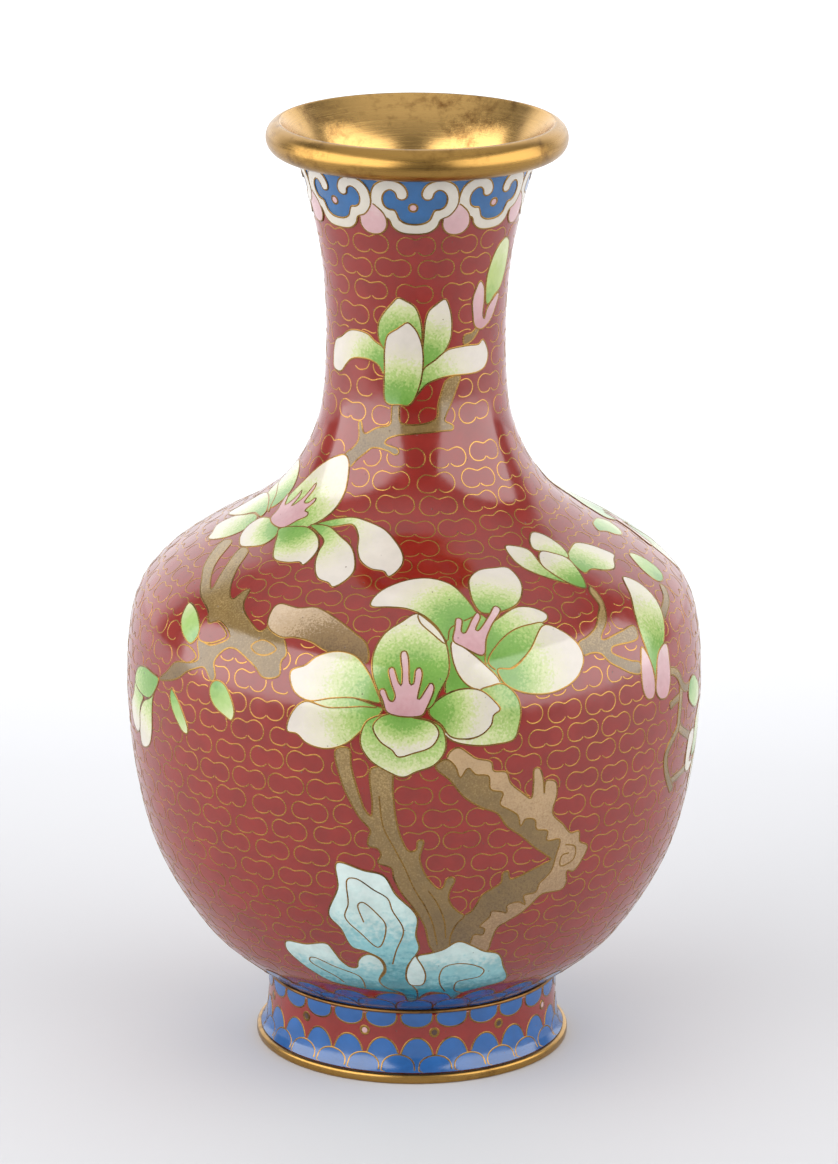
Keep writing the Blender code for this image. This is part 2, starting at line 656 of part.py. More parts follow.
PITCH = 360 / HEADS
PICTURE = [
    ("belly_scallop_band", scallop_band(*BELLY_SCALLOPS), BLUE),
    *((f"ruyi_head_{n + 1}", head(HEAD_START + n * PITCH - 180), WHITE) for n in range(HEADS)),
    *((f"collar_drop_{n + 1}", drop(HEAD_START + (n + 0.5) * PITCH - 180), PINK) for n in range(HEADS)),
    ("rock_tall", ROCK_TALL, AQUA),
    ("rock_left", ROCK_LEFT, AQUA),
    ("rock_right", ROCK_RIGHT, AQUA),
    ("magnolia_centre", smooth_loop(MAGNOLIA_CENTRE, 2), PETAL),
    ("magnolia_behind", smooth_loop(MAGNOLIA_BEHIND, 2), PETAL),
    ("magnolia_left", smooth_loop(MAGNOLIA_LEFT, 2), PETAL),
    ("magnolia_neck", smooth_loop(MAGNOLIA_NECK, 2), PETAL),
    ("magnolia_right", smooth_loop(MAGNOLIA_RIGHT, 2), PETAL),
    ("magnolia_east", smooth_loop(MAGNOLIA_EAST, 2), PETAL),
    ("magnolia_back", smooth_loop(MAGNOLIA_BACK, 2), PETAL),
    ("bud_right", smooth_loop(BUD_RIGHT, 2), PINK),
    ("bud_left", smooth_loop(BUD_LEFT, 2), PETAL),
    ("bud_neck", smooth_loop(BUD_NECK, 2), PINK),
    *((f"leaf_{n + 1}", outline, LEAF) for n, outline in enumerate(LEAVES)),
    ("trunk_main", TRUNK_MAIN, BROWN),
    ("trunk_heart", TRUNK_HEART, BROWN),
    ("trunk_bark", TRUNK_BARK, TAN),
    ("branch_left", BRANCH_LEFT, TAN),
    ("branch_neck", BRANCH_NECK, BROWN),
    ("branch_right", BRANCH_RIGHT, BROWN),
    ("branch_back", BRANCH_BACK, BROWN),
]
GROUNDS = [("red_ground", 40.0, RED), ("collar_ground", DRAWING_LENGTH, BLUE)]
BODY_FIELD = Field(BODY, DRAWING_LENGTH, CLEARANCE / MM, DRAWING_LENGTH, RINGS)
enclosed = inlay(BODY_FIELD, PICTURE, GROUNDS)
for number, (area, points) in enumerate(enclosed[:POCKETS]):
    sheet(f"red_pocket_{number + 1}", area, points, BODY_FIELD, RED)

FOOT_LENGTH = (FOOT_TOP - FOOT_BOTTOM) / MM
FOOT_FIELD = Field(FOOT, FOOT_LENGTH, 0.0, FOOT_LENGTH, FOOT_RINGS)
FOOT_BANDS = [
    ("foot_scallop_band_upper", scallop_band(*UPPER_FOOT_SCALLOPS, FOOT_LENGTH + BAND_OVERLAP), BLUE),
    ("foot_scallop_band_lower", scallop_band(*LOWER_FOOT_SCALLOPS, -BAND_OVERLAP), BLUE),
]
inlay(FOOT_FIELD, FOOT_BANDS, [("foot_ground", FOOT_GROUND_LEVEL, RED)])
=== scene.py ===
# %% [markdown]
# # A cloisonné vase
#
# The vase is a spun copper body in two halves. Brass wires stand on it as little fences, coloured glass
# is melted between them, and then glass and wire are ground and polished down to one smooth surface.
# A heavy brass ring finishes the mouth, and a flat brass strip the foot.
#
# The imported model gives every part's place. This lesson lays the fine surfaces, the wires and the
# finishes over it, in the same frame and in metres.

# %% Load the frame
import math

import bpy
import numpy as np
from mathutils import Matrix, Vector
from mathutils.geometry import delaunay_2d_cdt


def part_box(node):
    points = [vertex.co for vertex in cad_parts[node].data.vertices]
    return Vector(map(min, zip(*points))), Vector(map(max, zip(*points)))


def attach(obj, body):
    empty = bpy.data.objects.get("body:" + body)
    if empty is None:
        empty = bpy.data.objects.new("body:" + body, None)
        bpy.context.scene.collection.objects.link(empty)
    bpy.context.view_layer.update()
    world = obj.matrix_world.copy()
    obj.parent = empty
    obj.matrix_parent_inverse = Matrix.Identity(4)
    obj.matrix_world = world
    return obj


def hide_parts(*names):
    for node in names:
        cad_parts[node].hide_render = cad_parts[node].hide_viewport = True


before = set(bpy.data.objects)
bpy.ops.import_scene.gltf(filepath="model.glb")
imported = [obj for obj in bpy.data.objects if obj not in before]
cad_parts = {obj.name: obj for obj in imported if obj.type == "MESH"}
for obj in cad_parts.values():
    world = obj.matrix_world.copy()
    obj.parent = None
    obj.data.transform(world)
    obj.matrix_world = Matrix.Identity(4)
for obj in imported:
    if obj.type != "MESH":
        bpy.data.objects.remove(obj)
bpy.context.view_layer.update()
MM = 0.001

# %% [markdown]
# ## The stage
#
# A glossy vase is lit by what it reflects. Two tall soft boxes stand to its left and right. The gap
# between them, where the camera stands, draws the darker upright band down the middle of the vase, so
# the gap matters as much as the lamps. A long lens far away keeps mouth and foot in true proportion.

# %% Camera
EYE = Vector((0.0, -1.19065, 0.452131))
DOWNWARD_TILT = math.radians(16.382)
ROLL = math.radians(0.33)

camera_data = bpy.data.cameras.new("camera")
camera_data.lens = 178.86
camera_data.sensor_width = 36.0
camera_data.shift_x = 0.0038
camera = bpy.data.objects.new("camera", camera_data)
bpy.context.scene.collection.objects.link(camera)
looking_down = Matrix.Rotation(math.pi / 2 - DOWNWARD_TILT, 4, "X")
camera.matrix_world = Matrix.Translation(EYE) @ looking_down @ Matrix.Rotation(ROLL, 4, "Z")
bpy.context.scene.camera = camera
bpy.context.scene.view_settings.view_transform = "Standard"
print("the camera stands", round(EYE.length, 2), "m from the foot")

# %% [markdown]
# The soft boxes are area lights, because their edges then show in the glass as crisp veils of light,
# which is how polished enamel is told from paint. Each faces the middle of the vase.

# %% Soft boxes
TARGET = Vector((0, 0, 0.10))


def soft_box(name, azimuth, elevation, distance, width, height, glow):
    """An area light seen from the vase at that azimuth, 0 towards the camera, with an even glow."""
    light = bpy.data.lights.new(name, "AREA")
    light.shape = "RECTANGLE"
    light.size = width
    light.size_y = height
    light.energy = glow * math.pi * width * height
    lamp = bpy.data.objects.new(name, light)
    bpy.context.scene.collection.objects.link(lamp)
    around = math.radians(azimuth)
    above = math.radians(elevation)
    level = math.cos(above)
    away = Vector((math.sin(around) * level, -math.cos(around) * level, math.sin(above)))
    lamp.location = TARGET + distance * away
    lamp.rotation_euler = away.to_track_quat("Z", "Y").to_euler()
    lamp.visible_camera = False
    return lamp


soft_box("left_soft_box", azimuth=-61, elevation=14, distance=1.0, width=1.85, height=1.15, glow=3.4)
soft_box("right_soft_box", azimuth=69, elevation=14, distance=1.0, width=1.60, height=1.15, glow=2.9)

# %% [markdown]
# The room itself is the world: dim behind the camera, bright where the white paper hangs. Its colour
# depends only on the direction in space, so every view of the vase is lit by the same room. The dim side
# would make a gloomy backdrop for a view from behind, so there the camera itself is shown a paler wall.
# The glass and the brass still reflect the dim one.

# %% Room
ROOM_DIM = 0.32
ROOM_BRIGHT = 1.75
LAMPLIGHT = (0.97, 0.985, 1.0, 1)
PALE_WALL = (0.90, 0.905, 0.93, 1)


def nodes_of(tree):
    tree.nodes.clear()
    return tree.nodes, tree.links


room = bpy.data.worlds.new("studio")
bpy.context.scene.world = room
room.use_nodes = True
nodes, links = nodes_of(room.node_tree)
direction = nodes.new("ShaderNodeTexCoord")
parts = nodes.new("ShaderNodeSeparateXYZ")
towards_paper = nodes.new("ShaderNodeMapRange")
towards_paper.interpolation_type = "SMOOTHSTEP"
towards_paper.inputs["From Min"].default_value = 0.52
towards_paper.inputs["From Max"].default_value = 0.68
towards_paper.inputs["To Min"].default_value = ROOM_DIM
towards_paper.inputs["To Max"].default_value = ROOM_BRIGHT
overhead = nodes.new("ShaderNodeMapRange")
overhead.interpolation_type = "SMOOTHSTEP"
overhead.inputs["From Min"].default_value = 0.5
overhead.inputs["From Max"].default_value = 0.95
overhead.inputs["To Max"].default_value = 1.0
brighter = nodes.new("ShaderNodeMath")
brighter.operation = "MAXIMUM"
background = nodes.new("ShaderNodeBackground")
world_output = nodes.new("ShaderNodeOutputWorld")
links.new(direction.outputs["Generated"], parts.inputs[0])
links.new(parts.outputs["Y"], towards_paper.inputs["Value"])
links.new(parts.outputs["Z"], overhead.inputs["Value"])
links.new(towards_paper.outputs["Result"], brighter.inputs[0])
links.new(overhead.outputs["Result"], brighter.inputs[1])
links.new(brighter.outputs[0], background.inputs["Strength"])
background.inputs["Color"].default_value = LAMPLIGHT
pale = nodes.new("ShaderNodeBackground")
pale.inputs["Color"].default_value = PALE_WALL
seen = nodes.new("ShaderNodeLightPath")
shown = nodes.new("ShaderNodeMixShader")
wall_share = nodes.new("ShaderNodeMath")
wall_share.operation = "MULTIPLY"
off_paper = nodes.new("ShaderNodeMath")
off_paper.operation = "SUBTRACT"
off_paper.inputs[0].default_value = 1.0
links.new(towards_paper.outputs["Result"], off_paper.inputs[1])
links.new(seen.outputs["Is Camera Ray"], wall_share.inputs[0])
links.new(off_paper.outputs[0], wall_share.inputs[1])
links.new(wall_share.outputs[0], shown.inputs["Fac"])
links.new(background.outputs[0], shown.inputs[1])
links.new(pale.outputs[0], shown.inputs[2])
links.new(shown.outputs[0], world_output.inputs["Surface"])
print("the room's glow runs from", ROOM_DIM, "to", ROOM_BRIGHT)

# %% [markdown]
# The floor is a big sheet of matt paper. Its colour holds painted shade, darker towards the camera and palest
# at the back, and an emission there paints the glow of a lit sweep. Ramps that follow the place on the floor
# do both, and a faint fibre keeps the paper from being a flat colour.

# %% Floor
FLOOR_REACH = 3.0
# The greys of the painted shade on the floor, by share of the way from its front to its back.
FLOOR_PAINTED_SHADE_GREYS = ((0.22, 108), (0.36, 168), (0.50, 190))


def tint(red, green, blue):
    """A linear colour from the everyday 0 to 255 numbers."""
    def linear(value):
        value /= 255
        return value / 12.92 if value <= 0.04045 else ((value + 0.055) / 1.055) ** 2.4
    return linear(red), linear(green), linear(blue), 1.0


paper = bpy.data.materials.new("paper")
paper.use_nodes = True
nodes, links = nodes_of(paper.node_tree)
place = nodes.new("ShaderNodeTexCoord")
parts = nodes.new("ShaderNodeSeparateXYZ")
depth = nodes.new("ShaderNodeMapRange")
depth.inputs["From Min"].default_value = -0.75
depth.inputs["From Max"].default_value = 0.45
# Painted shade: the paper's grey darkens towards the camera and its front edge, standing in for light that
# falls off there.
shade = nodes.new("ShaderNodeValToRGB")
shade.color_ramp.elements[0].color = tint(92, 91, 94)
shade.color_ramp.elements[1].color = tint(230, 230, 233)
for position, grey in FLOOR_PAINTED_SHADE_GREYS:
    shade.color_ramp.elements.new(position).color = tint(grey, grey, grey + 2)
# Painted light: an emission that makes the back of the floor glow like a lit sweep, though the paper is no
# lamp.
glow = nodes.new("ShaderNodeMapRange")
glow.inputs["From Min"].default_value = 0.18
glow.inputs["From Max"].default_value = 0.90
glow.inputs["To Max"].default_value = 0.45
fibre = nodes.new("ShaderNodeTexNoise")
fibre.inputs["Scale"].default_value = 240.0
rough_paper = nodes.new("ShaderNodeBump")
rough_paper.inputs["Strength"].default_value = 0.10
rough_paper.inputs["Distance"].default_value = 0.0004
sheet = nodes.new("ShaderNodeBsdfPrincipled")
sheet.inputs["Roughness"].default_value = 0.85
sheet.inputs["Emission Color"].default_value = (1, 1, 1, 1)
paper_output = nodes.new("ShaderNodeOutputMaterial")
links.new(place.outputs["Object"], parts.inputs[0])
links.new(parts.outputs["Y"], depth.inputs["Value"])
links.new(parts.outputs["Y"], glow.inputs["Value"])
links.new(depth.outputs["Result"], shade.inputs["Fac"])
links.new(shade.outputs["Color"], sheet.inputs["Base Color"])
links.new(glow.outputs["Result"], sheet.inputs["Emission Strength"])
links.new(fibre.outputs["Fac"], rough_paper.inputs["Height"])
links.new(rough_paper.outputs["Normal"], sheet.inputs["Normal"])
links.new(sheet.outputs[0], paper_output.inputs["Surface"])

corners = [(x * FLOOR_REACH, y * FLOOR_REACH, 0) for x, y in ((-1, -1), (1, -1), (1, 1), (-1, 1))]
floor_mesh = bpy.data.meshes.new("floor")
floor_mesh.from_pydata(corners, [], [(0, 1, 2, 3)])
floor_mesh.materials.append(paper)
floor = bpy.data.objects.new("floor", floor_mesh)
bpy.context.scene.collection.objects.link(floor)
print("the floor is", 2 * FLOOR_REACH, "m across")

# %% [markdown]
# ## The outline
#
# Enamellers plan the picture on flat paper wrapped round the copper, and so does this lesson. A place on
# the vase is (degrees round from the front, millimetres up the outline from the foot's seam). The
# outline is a Catmull-Rom curve, because it passes through every measured corner and is smooth there.

# %% The body's outline
rim_low, rim_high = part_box("foot_rim")
ring_low, ring_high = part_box("mouth_ring")
seam_low, seam_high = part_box("seam_wire")
SEAM_HEIGHT = seam_high.z + 0.0002
BELLY_HEIGHT = SEAM_HEIGHT + 0.0630
THROAT_HEIGHT = BELLY_HEIGHT + 0.0747
LIP_HEIGHT = THROAT_HEIGHT + 0.0418
SEAM_RADIUS = 0.0316
BELLY_RADIUS = 0.0617
THROAT_RADIUS = 0.01905
LIP_RADIUS = 0.0251
BELLY_CURVE = ((0, 0), (0.085, 0.245), (0.19, 0.475), (0.50, 0.835), (1, 1))
SHOULDER_CURVE = (
    (0.27, 0.952), (0.36, 0.845), (0.445, 0.648), (0.53, 0.388), (0.62, 0.195), (0.79, 0.0405)
)
NECK_CURVE = ((0, 0), (0.42, 0.115), (0.72, 0.48), (1, 1))


def stretch(curve, low, high, inner, outer):
    """Corners (radius, height) of one stretch, from its shares of rise and swell."""
    return [(inner + swell * (outer - inner), low + rise * (high - low)) for rise, swell in curve]


def span_point(a, b, c, d, share):
    """The point at this share of the span from b to c, of the curve through a, b, c and d."""
    ta = 0.0
    tb = ta + math.sqrt((b - a).length)
    tc = tb + math.sqrt((c - b).length)
    td = tc + math.sqrt((d - c).length)
    t = tb + share * (tc - tb)
    ab = a.lerp(b, (t - ta) / (tb - ta))
    bc = b.lerp(c, (t - tb) / (tc - tb))
    cd = c.lerp(d, (t - tc) / (td - tc))
    return ab.lerp(bc, (t - ta) / (tc - ta)).lerp(bc.lerp(cd, (t - tb) / (td - tb)), share)


def smooth(corners, steps, closed=False):
    """Points along the curve through the corners, with steps points to each span."""
    line = [Vector(corner) for corner in corners]
    if closed:
        line = [line[-1], *line, line[0], line[1]]
    else:
        line = [2 * line[0] - line[1], *line, 2 * line[-1] - line[-2]]
    points = []
    for a, b, c, d in zip(line, line[1:], line[2:], line[3:]):
        points += [span_point(a, b, c, d, step / steps) for step in range(steps)]
    if not closed:
        points.append(line[-2])
    return np.array([tuple(point) for point in points])


class Outline:
    """One side of a turned shape: radius, height and outward direction by millimetres along it."""

    def __init__(self, corners):
        points = smooth(corners, 24)
        steps = np.linalg.norm(np.diff(points, axis=0), axis=1)
        self.length = np.concatenate([[0], np.cumsum(steps)]) / MM
        self.radius = points[:, 0]
        self.height = points[:, 1]
        along = np.gradient(points, axis=0)
        along /= np.linalg.norm(along, axis=1)[:, None]
        self.out = along[:, 1]
        self.up = -along[:, 0]

    def at(self, turn, rise, lift=0.0):
        """Points and surface directions at (degrees, millimetres), lifted by metres off the surface."""
        turn = np.radians(np.asarray(turn, float))
        rise = np.asarray(rise, float)
        out = np.interp(rise, self.length, self.out)
        up = np.interp(rise, self.length, self.up)
        radius = np.interp(rise, self.length, self.radius) + lift * out
        height = np.interp(rise, self.length, self.height) + lift * up
        points = np.stack([radius * np.sin(turn), -radius * np.cos(turn), height], -1)
        facing = np.stack([out * np.sin(turn), -out * np.cos(turn), up], -1)
        return points, facing

    def per_degree(self, rise):
        """How many millimetres one degree is at that place on the outline."""
        return np.interp(rise, self.length, self.radius) * math.pi / 180 / MM


BODY = Outline(
    stretch(BELLY_CURVE, SEAM_HEIGHT, BELLY_HEIGHT, SEAM_RADIUS, BELLY_RADIUS)
    + stretch(SHOULDER_CURVE, BELLY_HEIGHT, THROAT_HEIGHT, THROAT_RADIUS, BELLY_RADIUS)
    + stretch(NECK_CURVE, THROAT_HEIGHT, LIP_HEIGHT, THROAT_RADIUS, LIP_RADIUS)
)
BODY_LENGTH = float(BODY.length[-1])
FOOT_CURVE = ((0, 1), (0.085, 0.55), (0.28, 0.2), (0.6, 0), (1, 0))
FOOT_WAIST = SEAM_RADIUS - 0.0003
FOOT_SPREAD = 0.0017
FOOT = Outline(
    stretch(FOOT_CURVE, rim_high.z + 0.0002, seam_low.z - 0.0001, FOOT_WAIST, FOOT_WAIST + FOOT_SPREAD)
)
FOOT_LENGTH = float(FOOT.length[-1])
print("the body's outline is", round(BODY_LENGTH, 1), "mm long, and the foot's", round(FOOT_LENGTH, 1))

# %% [markdown]
# ## Making meshes
#
# Every surface here is turned, so its exact surface directions are known. They are stored in the mesh
# as custom normals, and then a reflection slides over the facets as if there were none.

# %% Mesh helper
def add_piece(name, points, faces, facing, finish, replaced=(), reach=None):
    """A mesh object that rides on the vase. faces is an array of triangles or of quads."""
    mesh = bpy.data.meshes.new(name)
    points = np.asarray(points, np.float32)
    faces = np.asarray(faces, np.int32)
    sides = faces.shape[1]
    mesh.vertices.add(len(points))
    mesh.vertices.foreach_set("co", points.ravel())
    mesh.loops.add(faces.size)
    mesh.loops.foreach_set("vertex_index", faces.ravel())
    mesh.polygons.add(len(faces))
    mesh.polygons.foreach_set("loop_start", np.arange(0, faces.size, sides, dtype=np.int32))
    mesh.polygons.foreach_set("loop_total", np.full(len(faces), sides, np.int32))
    mesh.update(calc_edges=True)
    mesh.polygons.foreach_set("use_smooth", np.ones(len(faces), bool))
    if reach is not None:
        layer = mesh.attributes.new("reach", "FLOAT", "POINT")
        layer.data.foreach_set("value", np.asarray(reach, np.float32))
    if facing is not None:
        mesh.normals_split_custom_set_from_vertices([tuple(direction) for direction in facing])
    mesh.materials.append(finish)
    piece = bpy.data.objects.new(name, mesh)
    bpy.context.scene.collection.objects.link(piece)
    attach(piece, "root")
    if replaced:
        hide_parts(*replaced)
    return piece


def turned_solid(name, section, finish, replaced=(), columns=192):
    """A closed section of (radius, height) corners, turned round the axis with its true directions."""
    section = np.asarray(section, float)
    count = len(section)
    before = section - np.roll(section, 1, axis=0)
    after = np.roll(section, -1, axis=0) - section
    before /= np.linalg.norm(before, axis=1)[:, None]
    after /= np.linalg.norm(after, axis=1)[:, None]
    along = before + after
    along /= np.linalg.norm(along, axis=1)[:, None] + 1e-9
    turns = np.radians(np.arange(columns) * 360 / columns)[:, None]
    radius, height = section[:, 0], section[:, 1]
    points = np.stack([radius * np.sin(turns), -radius * np.cos(turns), height + 0 * turns], -1)
    out, up = along[:, 1], -along[:, 0]
    facing = np.stack([out * np.sin(turns), -out * np.cos(turns), up + 0 * turns], -1)
    column = np.arange(columns)[:, None] * count
    following = (np.arange(columns)[:, None] + 1) % columns * count
    row = np.arange(count)
    above = (row + 1) % count
    faces = np.stack([column + row, following + row, following + above, column + above], -1)
    return add_piece(
        name, points.reshape(-1, 3), faces.reshape(-1, 4), facing.reshape(-1, 3), finish, replaced
    )


def sheet_section(outline, low, high, top, thickness, step=1.2):
    """The closed section of a glass sheet on an outline: its outside, and an underside that much deeper."""
    rows = max(2, int((high - low) / step))
    outside = np.linspace(low, high, rows + 1)
    inside = np.linspace(high, low, max(2, rows // 3) + 1)
    points_out, _ = outline.at(90.0, outside, top)
    points_in, _ = outline.at(90.0, inside, top - thickness)
    return np.concatenate([points_out[:, [0, 2]], points_in[:, [0, 2]]])

# %% [markdown]
# ## Finishes
#
# Vitreous enamel is glass. Its colour sits under a clear fire polish, so the surface is smooth enough to
# mirror the soft boxes, but grinding leaves a soft waviness and a few open bubbles, whose colour is darkened
# towards a brown.
# Where a maker shades a petal, grains of two colours mingle before they melt. A number stored in the
# mesh, reach, says how far a point is from the petal's root, and a noise breaks the blend into grains.
# Enamel is richer in lead than window glass, so its index of refraction is set higher, at 1.66.

# %% Enamel finish
ENAMEL_IOR = 1.66
PIT_DARKENING = (70, 48, 36)


def enamel(name, shades, grain=0.10, mottle=0.10, bubbles=0.9, roughness=0.10, fineness=900.0):
    """Glass whose colour follows reach, 0 at the root and 1 at the tip. shades is (reach, colour) pairs."""
    made = bpy.data.materials.new(name)
    made.use_nodes = True
    nodes, links = nodes_of(made.node_tree)
    place = nodes.new("ShaderNodeTexCoord")
    reach = nodes.new("ShaderNodeAttribute")
    reach.attribute_name = "reach"

    grains = nodes.new("ShaderNodeTexNoise")
    grains.inputs["Scale"].default_value = fineness
    grains.inputs["Detail"].default_value = 3.0
    links.new(place.outputs["Object"], grains.inputs["Vector"])
    spread = nodes.new("ShaderNodeMapRange")
    spread.inputs["From Min"].default_value = 0.25
    spread.inputs["From Max"].default_value = 0.75
    spread.inputs["To Min"].default_value = -grain
    spread.inputs["To Max"].default_value = grain
    links.new(grains.outputs["Fac"], spread.inputs["Value"])
    mingled = nodes.new("ShaderNodeMath")
    links.new(reach.outputs["Fac"], mingled.inputs[0])
    links.new(spread.outputs["Result"], mingled.inputs[1])
    ramp = nodes.new("ShaderNodeValToRGB")
    ramp.color_ramp.interpolation = "EASE"
    elements = ramp.color_ramp.elements
    while len(elements) < len(shades):
        elements.new(0.5)
    while len(elements) > len(shades):
        elements.remove(elements[-1])
    for element, (position, colour) in zip(elements, shades):
        element.position = position
        element.color = tint(*colour)
    links.new(mingled.outputs[0], ramp.inputs["Fac"])

    clouds = nodes.new("ShaderNodeTexNoise")
    clouds.inputs["Scale"].default_value = 170.0
    clouds.inputs["Detail"].default_value = 5.0
    clouds.inputs["Roughness"].default_value = 0.65
    links.new(place.outputs["Object"], clouds.inputs["Vector"])
    depth = nodes.new("ShaderNodeMapRange")
    depth.inputs["From Min"].default_value = 0.3
    depth.inputs["From Max"].default_value = 0.7
    depth.inputs["To Min"].default_value = 1.0 - mottle
    depth.inputs["To Max"].default_value = 1.0 + mottle
    links.new(clouds.outputs["Fac"], depth.inputs["Value"])
    coloured = nodes.new("ShaderNodeVectorMath")
    coloured.operation = "SCALE"
    links.new(ramp.outputs["Color"], coloured.inputs[0])
    links.new(depth.outputs["Result"], coloured.inputs["Scale"])

    cells = nodes.new("ShaderNodeTexVoronoi")
    cells.inputs["Scale"].default_value = 560.0
    links.new(place.outputs["Object"], cells.inputs["Vector"])
    chosen = nodes.new("ShaderNodeMath")
    chosen.operation = "MULTIPLY_ADD"
    chosen.inputs[1].default_value = -0.24
    chosen.inputs[2].default_value = 0.15 * bubbles
    size = nodes.new("ShaderNodeSeparateColor")
    links.new(cells.outputs["Color"], size.inputs[0])
    links.new(size.outputs["Red"], chosen.inputs[0])
    pit = nodes.new("ShaderNodeMath")
    pit.operation = "SUBTRACT"
    links.new(chosen.outputs[0], pit.inputs[0])
    links.new(cells.outputs["Distance"], pit.inputs[1])
    open_pit = nodes.new("ShaderNodeMapRange")
    open_pit.inputs["From Max"].default_value = 0.05
    links.new(pit.outputs[0], open_pit.inputs["Value"])
    # The open bubbles are darkened towards a brown, at most seven tenths of the way.
    darkened_pits = nodes.new("ShaderNodeMix")
    darkened_pits.data_type = "RGBA"
    darkened_pits.inputs["B"].default_value = tint(*PIT_DARKENING)
    faint = nodes.new("ShaderNodeMath")
    faint.operation = "MULTIPLY"
    faint.inputs[1].default_value = 0.7
    links.new(open_pit.outputs["Result"], faint.inputs[0])
    links.new(faint.outputs[0], darkened_pits.inputs["Factor"])
    links.new(coloured.outputs[0], darkened_pits.inputs["A"])

    waves = nodes.new("ShaderNodeTexNoise")
    waves.inputs["Scale"].default_value = 210.0
    waves.inputs["Detail"].default_value = 2.0
    links.new(place.outputs["Object"], waves.inputs["Vector"])
    wavy = nodes.new("ShaderNodeBump")
    wavy.inputs["Strength"].default_value = 0.35
    wavy.inputs["Distance"].default_value = 0.00010
    links.new(waves.outputs["Fac"], wavy.inputs["Height"])
    pitted = nodes.new("ShaderNodeBump")
    pitted.invert = True
    pitted.inputs["Strength"].default_value = 0.5
    pitted.inputs["Distance"].default_value = 0.00008
    links.new(open_pit.outputs["Result"], pitted.inputs["Height"])
    links.new(wavy.outputs["Normal"], pitted.inputs["Normal"])

    polish = nodes.new("ShaderNodeMapRange")
    polish.inputs["From Min"].default_value = 0.3
    polish.inputs["From Max"].default_value = 0.7
    polish.inputs["To Min"].default_value = roughness
    polish.inputs["To Max"].default_value = roughness + 0.09
    links.new(clouds.outputs["Fac"], polish.inputs["Value"])

    surface = nodes.new("ShaderNodeBsdfPrincipled")
    surface.inputs["IOR"].default_value = ENAMEL_IOR
    links.new(darkened_pits.outputs["Result"], surface.inputs["Base Color"])
    links.new(polish.outputs["Result"], surface.inputs["Roughness"])
    links.new(pitted.outputs["Normal"], surface.inputs["Normal"])
    output = nodes.new("ShaderNodeOutputMaterial")
    links.new(surface.outputs[0], output.inputs["Surface"])
    return made


# %% [markdown]
# Each glass is a little ramp of colours from root to tip. The red ground and the blues are nearly even,
# and the petals go from leaf green to warm white. Bark is ground coarser, so its grains are the largest.

# %% The glasses
RED_GLASS = enamel("red_glass", [(0, (120, 22, 10)), (1, (120, 22, 10))], mottle=0.14)
BLUE_GLASS = enamel(
    "blue_glass", [(0, (18, 76, 112)), (0.25, (26, 82, 132)), (1, (30, 86, 138))], mottle=0.18
)
DEEP_BLUE_GLASS = enamel("deep_blue_glass", [(0, (18, 74, 132)), (1, (24, 82, 142))], mottle=0.16)
WHITE_GLASS = enamel(
    "white_glass", [(0, (172, 162, 146)), (0.3, (184, 177, 164)), (1, (190, 184, 174))], mottle=0.08
)
PETAL_GLASS = enamel(
    "petal_glass",
    [(0, (92, 136, 52)), (0.26, (106, 146, 64)), (0.44, (146, 168, 96)), (0.60, (178, 184, 134)),
     (0.76, (192, 186, 166)), (1, (192, 184, 174))],
    grain=0.13,
    mottle=0.07,
    fineness=1900.0,
)
PINK_GLASS = enamel(
    "pink_glass", [(0, (170, 126, 130)), (0.55, (182, 146, 148)), (1, (188, 168, 164))], mottle=0.08
)
AQUA_GLASS = enamel(
    "aqua_glass",
    [(0, (20, 88, 98)), (0.25, (44, 120, 130)), (0.52, (118, 168, 172)), (0.8, (176, 196, 192)),
     (1, (186, 200, 196))],
    grain=0.12,
    mottle=0.16,
)
BARK_GLASS = enamel(
    "bark_glass",
    [(0, (84, 60, 26)), (0.5, (110, 86, 44)), (1, (146, 122, 76))],
    grain=0.30,
    mottle=0.16,
    fineness=2600.0,
)
TAN_GLASS = enamel(
    "tan_glass", [(0, (122, 92, 58)), (1, (162, 134, 98))], grain=0.3, mottle=0.12, fineness=2400.0
)
BRANCH_GLASS = enamel(
    "branch_glass",
    [(0, (92, 68, 36)), (0.35, (116, 90, 52)), (0.7, (164, 140, 110)), (1, (180, 158, 132))],
    grain=0.2,
    mottle=0.14,
    fineness=2400.0,
)
PIT_GLASS = enamel("pit_glass", [(0, (60, 34, 22)), (1, (96, 52, 36))], mottle=0.3)
LEAF_GLASS = enamel(
    "leaf_glass", [(0, (94, 140, 62)), (0.45, (140, 168, 96)), (1, (184, 190, 146))], mottle=0.08
)
SPRING_GLASS = enamel(
    "spring_glass", [(0, (108, 148, 62)), (0.5, (160, 176, 102)), (1, (184, 190, 144))], mottle=0.08
)
print("glasses:", [made.name for made in bpy.data.materials if made.name.endswith("_glass")])

# %% [markdown]
# The wires, the rings and the gilding are brass-coloured metal that has been brushed on a lathe and has
# dulled with age. Brushing runs round the axis: a noise that changes quickly with height and radius, but
# slowly along the turn, gives those fine rings. Brown spots gather where hands don't polish.

